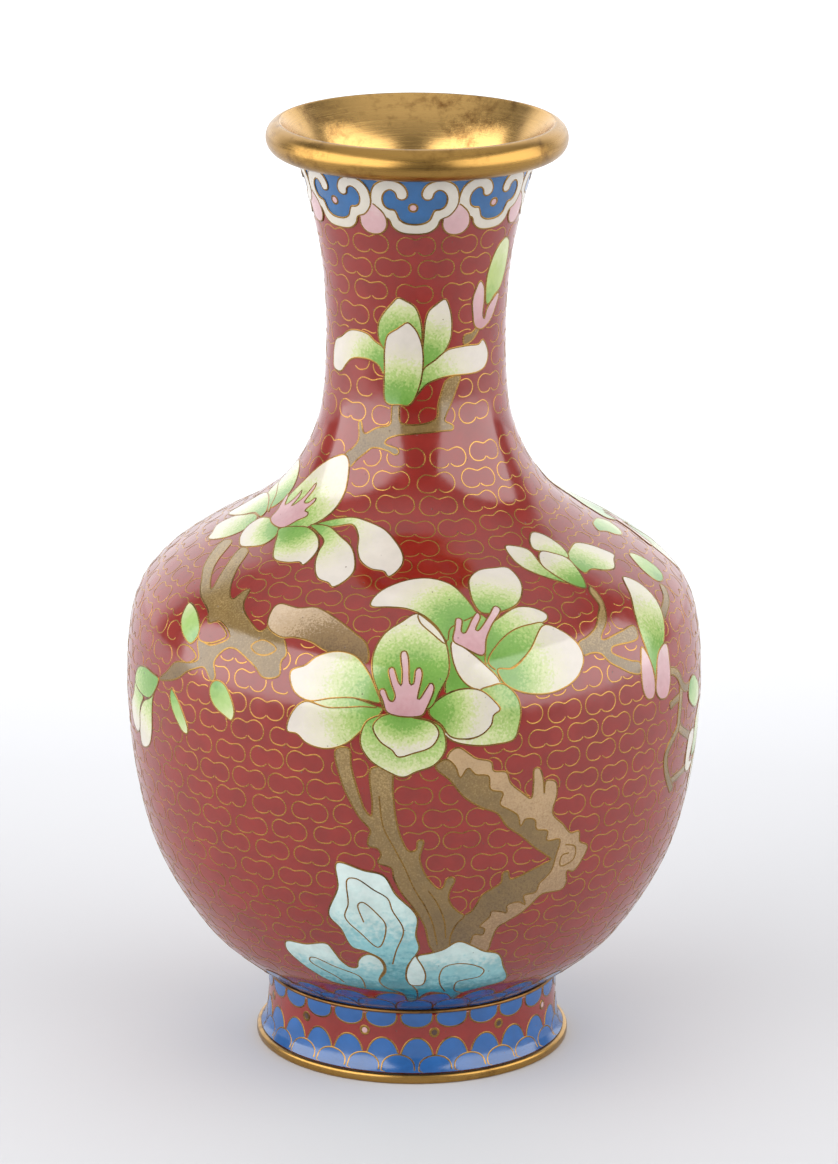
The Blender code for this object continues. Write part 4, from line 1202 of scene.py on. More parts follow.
picture("left_magnolia_petals", left_petals, PETAL_GLASS, "petal_enamel", ["magnolia_left"])

# %% [markdown]
# ## The flowers of the neck and of the right side
#
# The throat is only 38 mm across, so a flower of the same drawn size wraps nearly half of it.

# %% Neck and right magnolias
neck_petals = [
    Cell([(-19.3, 159), (-20, 166), (-20, 170), (-18, 173), (-12, 174.5), (-8, 175.5), (-5.5, 176),
          (-1, 174.8), (3, 172), (4.5, 169), (4, 165), (1, 161), (-2, 159), (-5, 158.2), (-10, 158.3),
          (-17, 158.3)],
         root=(-10, 156), reach=(0.0, 1.3)),
    Cell([(-65, 167), (-64, 163.8), (-60, 163.3), (-55, 163.5), (-50, 165.3), (-45, 166.8), (-38, 167.4),
          (-30, 167.3), (-24, 166.3), (-20.5, 164.5), (-20.5, 170), (-27, 171.5), (-32, 172.8),
          (-40, 173.2), (-47, 172.8), (-55, 171), (-62, 169.8)], root=(-20, 165), reach=(0.0, 1.2)),
    Cell([(-2, 159.2), (2, 161), (7, 162.8), (14, 163.8), (22, 164.3), (35, 164.2), (43, 164.3), (49, 165),
          (52.5, 167), (51.5, 169), (47, 171), (44, 170.2), (36, 170.3), (26, 170.2), (20, 169.8),
          (12, 167.8), (5, 166), (3, 163)], root=(-2, 159), reach=(0.0, 1.25)),
    Cell([(4, 167), (5, 173), (6, 176.5), (8, 178.5), (13, 180), (18, 181), (21, 179), (22.8, 176),
          (22, 172), (17, 169), (10, 167), (5, 166)], root=(2, 164), reach=(0.0, 1.05)),
    Cell([(-24, 172), (-24, 175.5), (-20, 178), (-15, 180), (-11, 181.3), (-6, 180.6), (-1, 179.5),
          (3, 176), (3.5, 172), (-1, 174.6), (-6, 175.8), (-12, 174.3), (-18, 172.8), (-20, 170)],
         root=(-8, 168), reach=(0.1, 0.8)),
]
picture("neck_magnolia_petals", neck_petals, PETAL_GLASS, "petal_enamel", ["magnolia_neck"])
right_petals = [
    Cell([(39.5, 118), (41, 120.5), (43.5, 121.7), (47, 120.3), (49.8, 118), (49.2, 114), (47.7, 110.5),
          (46.5, 109.3), (43, 111.5), (40.5, 115)], root=(46, 109), reach=(0.0, 1.0)),
    Cell([(31.8, 121), (32, 125), (35, 124.8), (39.5, 122.8), (39.5, 118), (41, 114), (44, 111.3),
          (42, 112), (38.5, 114), (35, 116.5), (33, 118.5)], root=(44, 110), reach=(0.1, 1.0)),
    Cell([(41.5, 122.8), (42.5, 125), (46.5, 127), (50.5, 125.5), (52.5, 122.5), (52.3, 120), (50.5, 118),
          (47, 120.3), (43.5, 121.7)], root=(46, 114), reach=(0.4, 1.0)),
    Cell([(50.5, 113), (50.5, 118), (55.5, 120.2), (60, 120.8), (64, 119), (66.5, 116.5), (68, 113.8),
          (65.5, 112.9), (62, 111.2), (58, 111.8), (54, 113.3)], root=(47, 112), reach=(0.1, 1.0)),
]
picture("right_magnolia_petals", right_petals, PETAL_GLASS, "petal_enamel", ["magnolia_right"])

# %% [markdown]
# The flowers on the far side are of the same kind: five petals about a green root, with a few stamens.

# %% Far flowers
PETAL_SHAPE = (
    (0, 0), (0.25, 0.36), (0.55, 0.5), (0.85, 0.33), (1, 0), (0.85, -0.33), (0.55, -0.5), (0.25, -0.36)
)


def petal(root, angle, length, width, outline=BODY, reach=(0.0, 1.0)):
    """A pointed oval petal that grows from its root at that angle from straight up, in millimetres."""
    turn = math.radians(angle)
    per_degree = float(outline.per_degree(root[1]))
    corners = []
    for along, across in PETAL_SHAPE:
        x = along * length * math.sin(turn) + across * width * math.cos(turn)
        y = along * length * math.cos(turn) - across * width * math.sin(turn)
        corners.append((root[0] + x / per_degree, root[1] + y))
    return Cell(corners, root=root, reach=reach)


east_petals = [
    Cell([(72.5, 68), (76, 68.3), (77, 66), (75.5, 63), (75, 61.3), (79, 60), (76, 58.7), (72.5, 60),
          (71.6, 63), (71.8, 66)], reach=(0.8, 1.0)),
    Cell([(77, 66), (78, 70), (82, 73), (87, 72), (89, 68), (86, 64), (81, 61.5),
          (77, 61.8)], root=(78, 62), reach=(0.3, 1.0)),
    *(petal((88, 62), angle, length, width) for angle, length, width in (
        (60, 17, 11), (115, 15, 11), (175, 13, 10), (-135, 13, 9))),
]
shoulder_petals = [
    Cell([(97, 134.5), (99, 130), (98.5, 126), (96.5, 122), (95, 118.8), (97.5, 116.5), (103, 114.5),
          (110, 116), (116, 121), (118, 128), (112, 134), (104, 137)], root=(103, 113), reach=(0.1, 1.0)),
    petal((104, 113), 88, 17, 10), petal((104, 112), 132, 15, 10), petal((102, 112), -160, 14, 9),
]
shoulder_stamens = [
    Cell([(101, 113.6), (98, 110.6), (94.3, 107), (93, 107.7), (96.5, 112), (99, 115), (102, 118),
          (103, 117.4), (101.6, 114.6), (106, 117.5), (107, 116.6),
          (103.5, 112.6)], root=(103, 113), reach=(0.4, 0.7)),
]
back_petals = [petal((169, 86), angle, length, width) for angle, length, width in (
    (10, 17, 12), (75, 19, 12), (135, 17, 12), (-165, 16, 11), (-110, 20, 12), (-50, 18, 12))]
picture("shoulder_stamens", shoulder_stamens, PINK_GLASS, "petal_enamel")
picture("shoulder_magnolia_petals", shoulder_petals, PETAL_GLASS, "petal_enamel")
picture("east_magnolia_petals", east_petals, PETAL_GLASS, "petal_enamel", ["magnolia_east"])
picture("back_magnolia_petals", back_petals, PETAL_GLASS, "petal_enamel", ["magnolia_back"])

# %% [markdown]
# ## Buds and leaves
#
# A magnolia bud sits in two pink sepals, and small pointed leaves stand along the twigs.

# %% Buds
picture("right_bud_sepals", [
    Cell([(52.5, 93), (53.8, 91), (54.8, 88), (55.2, 84), (54.5, 81.7), (52.5, 81.8), (51.2, 84),
          (51, 87.5), (51.5, 90.5)], root=(53, 81), reach=(0.0, 0.9)),
    Cell([(61.2, 91.5), (61.4, 87), (61, 83), (59.5, 80.4), (57, 80.6), (55.5, 82.5), (56, 86), (57, 89.5),
          (58.5, 91)], root=(58, 80), reach=(0.0, 0.9)),
], PINK_GLASS, "pink_enamel", ["bud_right"])
picture("right_bud_petals", [
    Cell([(53.5, 96), (55, 100), (58, 104), (61.5, 108.5), (63.5, 107.3), (65, 105), (65.5, 101),
          (64.5, 98), (62, 94), (60, 91.5), (57.5, 90), (56, 87), (55.6, 85), (55.2, 87), (54, 91)],
         root=(56, 86), reach=(0.05, 0.95)),
], PETAL_GLASS, "petal_enamel")
picture("left_bud_petals", [
    Cell([(-60.8, 83.2), (-64, 83.7), (-68, 83.8), (-72, 82.2), (-73.5, 79), (-69, 77.5), (-64, 78.3)],
         root=(-61, 83.5), reach=(0.0, 0.5)),
    Cell([(-73.5, 79), (-74.5, 76), (-77, 73), (-76.5, 69.5), (-73, 67.8), (-71, 69), (-70, 74), (-68, 77),
          (-69, 77.5)], root=(-69, 79), reach=(0.3, 1.0)),
    Cell([(-61.5, 81.5), (-64, 78.3), (-68, 76), (-70.5, 72), (-70.5, 66), (-69, 65.6), (-65.5, 67.3),
          (-63.8, 71), (-63.5, 75), (-63, 78.5)], root=(-62, 82), reach=(0.2, 1.0)),
], PETAL_GLASS, "petal_enamel", ["bud_left"])
picture("neck_bud_sepals", [
    Cell([(38, 177), (37.3, 180), (39, 182), (42.5, 184), (46, 182.5), (47, 179.5), (46.5, 176.5),
          (48, 175.3), (50, 177.3), (55, 179), (62, 180.3), (63, 179.8), (60, 177.5), (55, 175),
          (50, 173.8), (45, 173.3), (40, 174.3)], root=(46, 173), reach=(0.0, 0.9)),
], PINK_GLASS, "pink_enamel", ["bud_neck"])
picture("neck_bud_petal", [
    Cell([(49.5, 178.5), (48, 181), (48, 184.5), (50.5, 188), (55, 191), (62, 192.5), (68, 191), (70, 187),
          (68, 183.5), (63, 181), (57, 180), (52, 178.5)], root=(50, 178), reach=(0.1, 1.0)),
], SPRING_GLASS, "petal_enamel")

# %% Leaves
leaf_outlines = [
    ([(-58.3, 101.2), (-55, 100.6), (-52, 98.8), (-50.3, 97), (-50, 95.3), (-51.3, 93.5), (-54, 94.3),
      (-56.5, 96.3), (-58, 98.8)], (-50, 94)),
    ([(-42, 87.8), (-40, 87.3), (-38, 84.5), (-37.2, 82), (-37.8, 80.2), (-39.5, 80.8), (-42.5, 82.5),
      (-43.8, 85), (-43.3, 87)], (-42.5, 87.5)),
    ([(-55.6, 82.5), (-53.5, 81), (-51.5, 78.5), (-50, 75.8), (-50, 74.3), (-51.3, 74.3), (-53.5, 76.3),
      (-55.2, 78.5), (-56, 81)], (-55.6, 82.5)),
    ([(75, 111.8), (77.5, 110.5), (79, 107.5), (78.5, 104), (75.5, 102.7), (72.5, 103.5), (71.5, 106.5),
      (73, 110)], (75, 103)),
    ([(71, 80), (74, 80.8), (77, 79), (79.5, 76.5), (79.5, 74), (76.5, 73), (73, 74.5),
    (70.5, 77)], (71, 80)),
    ([(77.5, 120), (80, 121.6), (84, 121.8), (89, 121), (92, 118.5), (90, 116), (86, 115), (83, 116),
      (80.5, 118.5)], (78, 120)),
]
for number, (corners, root) in enumerate(leaf_outlines, 1):
    leaf = Cell(corners, root=root, reach=(0.0, 0.95))
    picture(f"leaf_{number}_glass", [leaf], LEAF_GLASS, "leaf_enamel", [f"leaf_{number}"])
print("leaves:", len(leaf_outlines))

# %% [markdown]
# ## The rocks
#
# Garden rocks worn through with holes stand at the foot of the tree. Their glass is shaded from pale
# tops down to deep teal, and one long wire winds over each rock like a fold of stone.

# %% Rocks
picture("rock_hollow", [
    Cell([(0.7, 27.5), (-1, 24), (-1.5, 20), (-0.5, 17), (1, 16.6), (2.7, 17), (3.4, 20), (2.8, 23),
          (1.2, 26.5)],
         reach=(0.75, 1.0)),
], AQUA_GLASS, "teal_enamel")
picture("tall_rock_glass", [
    Cell([(-15.3, 52), (-10, 50.6), (-6, 49.6), (-3.5, 45), (0, 41), (1, 38.8), (0.7, 34), (1.5, 30),
          (0.5, 27.3), (-1.2, 24), (-1.5, 19), (0, 16.5), (1.2, 14), (1.2, 8), (-1, 7), (-3, 12.5),
          (-7, 15), (-8.7, 18), (-6.7, 22), (-7.3, 26), (-11, 28.5), (-14, 29.5), (-16, 35),
          (-18.2, 38.5), (-15.5, 46)],
         reach=(0.0, 1.05)),
], AQUA_GLASS, "teal_enamel", ["rock_tall"], [
    inner_line([(-4.8, 24.6), (-3.8, 29), (-2, 35.5), (-4.3, 41), (-5.2, 44), (-8, 46), (-11.5, 48.5),
                (-13.3, 48.3), (-13.6, 42), (-14.6, 38.3), (-11.5, 34), (-7.8, 30), (-5.8, 36.7),
                (-7.5, 39.8), (-10.5, 42.7), (-11.5, 42), (-10.6, 37.3)]),
])
picture("left_rock_glass", [
    Cell([(-31, 28.3), (-26, 28.4), (-20.3, 29.6), (-19, 27.3), (-17.5, 24), (-15.5, 22.3), (-14, 22.5),
          (-13.2, 25), (-11.5, 27), (-10, 27.4), (-8, 26), (-7, 23), (-8.8, 18), (-7, 15), (-4, 12.5),
          (-10, 13), (-14, 13.5), (-19, 14.5), (-23, 15.5), (-27, 18.5), (-30, 21.5), (-32.2, 25),
          (-32, 27)], reach=(0.1, 1.0)),
], AQUA_GLASS, "teal_enamel", ["rock_left"], [
    inner_line([(-19, 16), (-20.5, 18), (-26.5, 22.5), (-26, 24), (-24.7, 24.2), (-20, 22), (-14, 19.3),
                (-13.2, 17), (-13.4, 14)]),
])
picture("right_rock_glass", [
    Cell([(1.2, 27.3), (4, 28.2), (7, 29.3), (10.5, 31.7), (14, 30), (17, 28), (20.5, 26.8),
          (21.8, 25.5), (23.5, 22), (26.4, 17), (26, 15.5), (22, 14.2), (18, 13), (15, 11.5), (13, 8),
          (10, 11.5), (5, 13), (3, 11), (1.4, 8), (1.4, 14), (0, 16.7), (1, 16.6), (2.7, 17), (3.4, 20),
          (2.8, 23)], reach=(0.0, 0.95)),
], AQUA_GLASS, "teal_enamel", ["rock_right"], [
    inner_line([(9.5, 13), (7.5, 17), (7, 20.5), (8, 23.5), (10.5, 24.4), (14, 24), (17.5, 22.3),
                (18.6, 21), (17.8, 19), (14, 18.2), (12, 17.5), (11.7, 15), (12.5, 13), (15, 11.5)]),
])

# %% [markdown]
# ## The tree
#
# The trunk is two cells wide: old bark in mottled brown, and a lighter side, with a jagged wire between
# them. The brown is two powders laid together and fired, so it comes out speckled rather than blended.

# %% Trunk
picture("trunk_main_glass", [
    Cell([(4.2, 30), (2.5, 37), (0, 42), (-2, 45), (-3.8, 49), (-4.3, 51.5), (-7, 52.7), (-6.3, 54.5),
          (-7, 56), (-8.8, 56.5), (-8.7, 58.5), (-8.3, 60), (-10.5, 63), (-12.5, 67), (-14, 71),
          (-15, 77.5), (-12.5, 78), (-12, 74), (-10.5, 68), (-9.3, 64.5), (-8.2, 63.3), (-7.9, 66),
          (-8, 74), (-4.2, 73.5), (-4, 70), (-3.5, 64), (-2.5, 59), (-0.8, 55.5), (0.6, 55.8), (1, 58),
          (2, 58), (1.7, 56), (1.3, 54), (2, 51), (3.5, 48.3), (5.5, 46.3), (6.3, 47), (6.8, 48.8),
          (8, 49.2), (8.5, 48.5), (7.6, 46), (7.4, 44), (8.2, 42), (10, 40), (11, 39.2), (9.5, 37),
          (8.5, 34), (8.2, 30), (6, 28)], reach=(0.35, 0.75)),
], BARK_GLASS, "brown_enamel", ["trunk_main"], [
    inner_line([(5.6, 31), (4.4, 37), (2.6, 42), (0.3, 46.5), (-1.6, 51.5), (-3.6, 56), (-5.8, 61),
                (-6.6, 68)]),
    inner_line([(7.4, 33), (6.8, 38), (5, 43), (3.2, 46)]),
])
trunk_side = [
    (8.2, 30), (8.6, 34), (9.6, 37), (11, 39.2), (12.5, 40.2), (13.5, 42), (14.5, 44.3), (17, 46),
    (18.3, 47), (18.5, 49.3), (19.5, 49.7), (20.2, 47.7), (22, 48), (25, 49.3), (27.5, 50.3), (29, 51),
    (27.5, 52.5), (25, 54.5), (22, 57.5), (18.5, 60.5), (16.5, 63.5), (13.5, 65), (10, 67.5), (7, 71.5),
    (4.2, 74.5), (5.4, 75.8),
]
zigzag = [
    (6.5, 76), (8, 74.5), (9, 72), (10.5, 74), (12, 72.5), (14.5, 72), (15, 69), (17.5, 68), (17, 65.5),
    (19, 64), (20.8, 62.5), (21.5, 60), (22.5, 61.5), (24.5, 61), (25, 58.8), (27.5, 58), (27.5, 55.8),
    (30.5, 55.5), (30, 51.5), (29.5, 48.5), (28.5, 47), (27, 45.5), (26.5, 43.5), (23.8, 43),
    (24.5, 40.5), (23, 41.5), (20.3, 41), (20.5, 39), (19, 39.5), (16.9, 39.8), (16.8, 38.5),
    (14.8, 35.8), (16, 35), (15.8, 33.3), (13.8, 33.5), (13.3, 31.5), (12.8, 29),
]
trunk_outer = [
    (6.8, 77.4), (8.5, 78.5), (12, 76), (15, 75), (15.5, 73), (18, 72.5), (19, 70), (21.5, 67.5),
    (23.4, 66), (23.8, 69), (23.9, 72.5), (24.8, 72.6), (25.8, 70), (26.2, 66.5), (26.5, 69.5),
    (28.5, 69), (29, 66), (28.3, 63), (28.5, 61.5), (31, 58.8), (33, 56.5), (35, 56.5), (35.5, 54),
    (37.7, 52.5), (36.8, 49.5), (35, 47), (33.3, 47.5), (33.7, 44.5), (33, 43), (28, 42.6), (26, 40.5),
    (24, 38.5), (21, 36.5), (19, 35), (18.2, 31), (17.8, 28),
]
heartwood = Cell(trunk_side + zigzag, reach=(0.2, 0.6))
bark = Cell(zigzag[::-1] + trunk_outer, reach=(0.2, 0.9))
picture("trunk_heart_glass", [heartwood], BARK_GLASS, "brown_enamel", ["trunk_heart"])
picture("trunk_bark_glass", [bark], TAN_GLASS, "tan_enamel", ["trunk_bark"], [
    inner_line([(32, 54), (34.5, 53), (34.5, 50), (31.5, 49), (31.5, 51.5), (33.2, 51.8)]),
])
picture("far_branch_glass", [
    Cell([(172, 28), (169, 40), (166, 52), (168, 64), (170, 78), (174, 78), (173, 63), (171, 53),
          (175, 42), (184, 30), (192, 28), (186, 20), (176, 18)], reach=(0.3, 0.8)),
], BARK_GLASS, "brown_enamel", ["branch_back"])

# %% [markdown]
# A twig is drawn as a line with a width. The two sides are the line moved a little to its left and to
# its right, and they close to a narrow cell.

# %% Branches
def twig(line, half, outline=BODY, reach=(0.3, 0.9)):
    """A narrow cell along a line, half of its width in millimetres to each side."""
    path = drawn(line, outline, False, 1.2)
    scale = np.stack([outline.per_degree(path[:, 1]), np.ones(len(path))], -1)
    along = np.gradient(path, axis=0) * scale
    along /= np.linalg.norm(along, axis=1)[:, None]
    aside = np.stack([-along[:, 1], along[:, 0]], -1) / scale * half
    return Cell(np.concatenate([path + aside, (path - aside)[::-1]]), outline=outline, reach=reach)


picture("red_pockets", [
    Cell([(-50.3, 100), (-48.5, 98.7), (-46.5, 99.6), (-42.3, 97.3), (-46, 94.9), (-49.6, 95.2)]),
    Cell([(-55, 90.5), (-54.6, 92.1), (-53, 92.8), (-50.3, 92.4), (-48.8, 91.2), (-49.8, 90.1),
          (-52, 89.3)]),
], RED_GLASS, "red_enamel")
picture("left_branch_lobe", [
    Cell([(-34.2, 105), (-34, 106.5), (-33, 107.3), (-28, 107), (-24, 107.8), (-21, 107), (-17, 105),
          (-13, 102.5), (-10, 100), (-9.6, 96), (-18.5, 98), (-22, 99.5), (-26, 100), (-29, 99.6),
          (-33.2, 101.5)],
         root=(-16, 93), reach=(0.0, 1.1)),
], BRANCH_GLASS, "tan_enamel")
picture("left_branch_glass", [
    Cell([(-33, 103), (-30, 101), (-27.7, 98.5), (-26.7, 96), (-27.5, 94.5), (-27.5, 91.5),
          (-31, 90.6), (-33, 92.3), (-35, 93.5), (-39, 95.2), (-41, 94.8), (-43.5, 91.5), (-42.7, 88.3),
          (-43.5, 87.2), (-46, 89.6), (-48.5, 88.8), (-51, 87.5), (-53.5, 85.5), (-57, 84), (-60.5, 83.3),
          (-58, 85.5), (-55, 88.5), (-50, 89.7), (-48, 91), (-49.5, 94.8), (-45.5, 94.5), (-41.3, 97.3),
          (-46, 100), (-48.5, 99), (-51, 101.3), (-57, 104), (-62, 107.5), (-66, 110), (-72, 117),
          (-68, 118), (-62, 111), (-57, 107), (-55, 106), (-58, 112), (-61, 118), (-57, 118),
          (-53, 112), (-49, 107), (-46.5, 105.5), (-45, 108.5), (-44, 109), (-42.5, 105), (-37, 101),
          (-34.5, 100), (-33.2, 101.5), (-34.2, 105)],
         reach=(0.3, 0.9)),
], BARK_GLASS, "brown_enamel", ["branch_left"], [
    inner_line([(-35.2, 96.5), (-33, 98.3), (-29.2, 96.8), (-31, 95.3), (-33.5, 95.2)], closed=True),
])
picture("neck_branch_glass", [
    Cell([(-42, 146.5), (-38, 148), (-35, 150), (-36, 152.5), (-36.5, 153.7), (-35, 154), (-33.5, 152.5),
          (-31.5, 151.5), (-24, 153), (-15.5, 154), (-14.8, 156), (-14.3, 158.2), (-10.7, 158.5),
          (-10, 156), (-9, 154.5), (5, 154.3), (13, 155.5), (14, 158), (16.5, 161), (20, 163.5),
          (29, 164), (26, 161), (22, 158), (19, 156), (18, 154.8), (22, 154), (23.5, 153.5),
          (22.8, 152.8), (17, 152.7), (0, 152.3), (-12, 151.7), (-17, 150.8), (-18, 150), (-15, 149.5),
          (-10, 149), (-9.3, 148.2), (-11, 147.7), (-16, 148.5), (-25, 148.8), (-29, 147.5), (-33, 146),
          (-38, 143.5)], reach=(0.2, 0.8)),
    Cell([(32, 170.6), (38, 171.2), (44, 173.4), (46, 174.5), (44, 174.6), (38, 173),
          (32, 172.6)], reach=(0.4, 0.8)),
], BARK_GLASS, "brown_enamel", ["branch_neck"])
picture("right_branch_glass", [
    Cell([(46.8, 108), (46.5, 104.5), (44.5, 102.5), (42, 100), (38.5, 98.3), (36, 97.5), (36, 94.8),
          (38.5, 94.8), (40.5, 94.3), (42.5, 92), (45, 90.3), (48, 88.5), (50.8, 87.8), (51, 90),
          (48.5, 91), (45, 92.8), (43.5, 94), (44, 94.9), (52, 95), (52.8, 96.5), (52.5, 97.8),
          (48, 97.5), (42, 97), (42.5, 98), (45.5, 100.5), (47.5, 103.5), (48.5, 106),
          (48.3, 109.5)], reach=(0.4, 1.0)),
    Cell([(63.5, 96.2), (67, 97.2), (71, 99), (73.5, 101.5), (72.5, 102.6), (69.5, 100.2), (66, 98.8),
          (63.3, 97.8)],
         reach=(0.3, 0.9)),
    *(twig(line, 0.8) for line in (
        [(60.5, 85.6), (63, 84.9), (65.2, 83.2), (66.6, 81), (68.4, 79.7), (70.8, 79.3)],
        [(66.4, 82), (65.9, 78), (65.3, 74.5), (64.8, 72), (62, 69.6), (60.2, 67.2), (60.5, 64.5),
         (62, 61.6), (63.7, 59.3), (65, 57.8)],
        [(65.1, 72.4), (67, 70.7), (70, 69), (72.6, 67.6)],
        [(63.4, 60), (67, 60.2), (72, 60.4)],
        [(61, 77.9), (63.4, 78.4), (66, 78.7)],
    )),
], BARK_GLASS, "brown_enamel", ["branch_right"])

# %% [markdown]
# ## The collar, the belly band and the foot
#
# Under the mouth hang eight ruyi heads: white scrolls, blue inside, each with a small pink seed, and a
# pink drop between every two. All eight are one drawing, turned by a share of the circle.

# %% Collar
HEADS = 8
FIRST_HEAD = -1.0
head_outer = [(0, 195.8), (8, 196.2), (12, 197.5), (13.5, 199), (18.3, 199.9), (21.7, 201.8), (22.4, 203.4),
              (21.5, 205.5), (19.5, 206.9), (15, 208.0), (10, 208.0), (6, 207.2), (3.7, 205.5), (4, 204.3),
              (6, 203.7), (8.5, 204)]
head_inner = [(9.5, 205.3), (12, 206), (15, 205.3), (16.5, 203.8), (15.5, 202), (13, 201.3), (10.5, 201.2),
              (9.5, 200.5), (8, 199), (5, 198.2), (0, 197.9)]
head_right = head_outer + head_inner
drop_half = [(0, 195.4), (4.4, 195.8), (7.2, 197.1), (7.6, 198.7), (6.0, 200.4), (3.0, 201.7), (0.8, 202.4)]


def mirrored(points):
    """The points, and their mirror image on the way back, about the middle line."""
    return points + [(-angle, rise) for angle, rise in reversed(points) if abs(angle) > 0.01]


def turned_by(points, angle):
    """The same drawing, that many degrees further round."""
    return [(point[0] + angle, point[1]) for point in points]


def ring_line(middle, radius, outline=BODY, layer=0):
    """A small round wire of that radius in millimetres."""
    per_degree = float(outline.per_degree(middle[1]))
    turns = np.arange(16) * 2 * math.pi / 16
    across = middle[0] + radius * np.cos(turns) / per_degree
    loop = np.stack([across, middle[1] + radius * np.sin(turns)], -1)
    return (loop, True, outline, layer)


def round_cell(middle, radius, outline=BODY, reach=(0.3, 0.7)):
    """A small round cell of that radius in millimetres."""
    line = ring_line(middle, radius, outline)[0]
    return Cell([tuple(point) for point in line[::2]], outline=outline, reach=reach)


SEED_RISE = 201.8
SEED_RADIUS = 0.85
SEED_RING = 0.95
collar_lines, seeds = [], []
for number in range(HEADS):
    middle = FIRST_HEAD + (number - HEADS // 2) * 360 / HEADS
    seed = (middle - 0.8, SEED_RISE)
    head = Cell(turned_by(mirrored(head_right), middle), reach=(0.2, 1.0))
    drop = Cell(turned_by(mirrored(drop_half), middle + 180 / HEADS), reach=(0.45, 0.75))
    head_name, drop_name = f"ruyi_head_{number + 1}", f"collar_drop_{number + 1}"
    picture(f"{head_name}_glass", [head], WHITE_GLASS, "white_enamel", [head_name])
    picture(f"{drop_name}_glass", [drop], PINK_GLASS, "pink_enamel", [drop_name])
    seeds.append(round_cell(seed, SEED_RADIUS))
    collar_lines.append(ring_line(seed, SEED_RING, layer=3))
picture("collar_seeds", seeds, PINK_GLASS, "pink_enamel", (), collar_lines)

# %% [markdown]
# The blue of the collar fills the heads and the space above them. Its lower edge follows the heads, so
# it is cut as a wavy band that stays hidden behind the white scrolls.

# %% Bands
def wavy_band(low_edge, high, outline, finish, name, replaced, layer, columns=720):
    """A closed skin round the whole vase between a wavy lower edge and a level upper one."""
    turns = np.arange(columns) * 360 / columns
    low = low_edge(turns)
    rows = np.linspace(0, 1, 12)[:, None]
    rise = low + rows * (high - low)
    lift = CELL_LIFT + layer * LAYER
    turn = np.broadcast_to(turns, rise.shape)
    top, out = outline.at(turn, rise, lift)
    bottom, _ = outline.at(turn, rise[::-1], lift - SKIRT)
    points = np.concatenate([top, bottom])
    facing = np.concatenate([out, out[::-1]])
    count = len(points)
    row = np.arange(count)[:, None] * columns
    above = (np.arange(count)[:, None] + 1) % count * columns
    column = np.arange(columns)
    after = (column + 1) % columns
    faces = np.stack([row + column, row + after, above + after, above + column], -1)
    shade = np.broadcast_to(np.concatenate([rows, rows[::-1]]), points.shape[:2])
    points, faces, facing = points.reshape(-1, 3), faces.reshape(-1, 4), facing.reshape(-1, 3)
    return add_piece(name, points, faces, facing, finish, replaced, shade.ravel())


def collar_edge(turns):
    """Just above the foot of each head in its middle, and up behind the drops between."""
    apart = np.abs((turns - FIRST_HEAD + 180 / HEADS) % (360 / HEADS) - 180 / HEADS)
    return np.interp(apart, [0, 8, 11.5, 14, 18, 22.5], [196.8, 197.2, 198.6, 200.2, 201.2, 203.0])


collar = wavy_band(
    collar_edge, BODY_LENGTH, BODY, BLUE_GLASS, "collar_blue_glass", ["collar_ground"], 0
)
print("the collar's blue has", len(collar.data.polygons), "faces")

# %% [markdown]
# The lower belly and the foot carry rows of blue scallops that overlap like fish scales. A scallop is
# an arch, and each row's arches hide the lower ends of the row behind. Its wire is bent over the arch
# only, with no strip along the foot, where the glass runs under the next row or up to the seam.

# %% Scallops
SCALLOPS = 26
PITCH = 360 / SCALLOPS


def arch(middle, half, foot, crown, count=12):
    """Corners of an arch: straight legs and a round crown. A crown below the foot makes it hang."""
    turns = np.linspace(0, math.pi, count)
    spring = foot + 0.35 * (crown - foot)
    curve = [(middle + half * math.cos(t), spring + (crown - spring) * math.sin(t)) for t in turns]
    legs = 0.94 * half
    return [(middle + legs, foot)] + curve + [(middle - legs, foot)]


def arch_row(first, half, foot, crown, outline, jitter, seed=3):
    """A row of arches round the vase. No two are bent quite alike, so jitter shifts each a little."""
    dice = np.random.default_rng(seed)
    cells = []
    for number in range(SCALLOPS):
        middle = first + PITCH * (number - SCALLOPS // 2) + dice.uniform(-0.5, 0.5) * jitter
        height = crown + dice.uniform(-0.4, 0.4) * jitter * 0.5
        corners = arch(middle, half, foot, height)
        cells.append(Cell(corners, outline=outline, reach=(0.1, 0.9), open_below=foot))
    return cells


def scallops(name, cells, replaced=()):
    """One row of blue scallops."""
    picture(name, cells, DEEP_BLUE_GLASS, "blue_enamel", replaced)


scallops("belly_scallops_front", arch_row(0.8, 6.5, GROUND_START, 8.0, BODY, 0.8), ["belly_scallop_band"])
scallops("belly_scallops_rear", arch_row(-6.1, 6.6, GROUND_START, 11.8, BODY, 0.8, 4))

# %% [markdown]
# The foot has two rows that stand on the rim and one that hangs from the seam. Between them runs a line
# of seeds in round wires. The glass has fallen out of most of them in the firing, which leaves dark pits,
# and only every third still holds its pink.

# %% Foot
def foot_rise(height):
    """Millimetres along the foot's outline for a height above the ground."""
    return float(np.interp(height * MM, FOOT.height, FOOT.length))


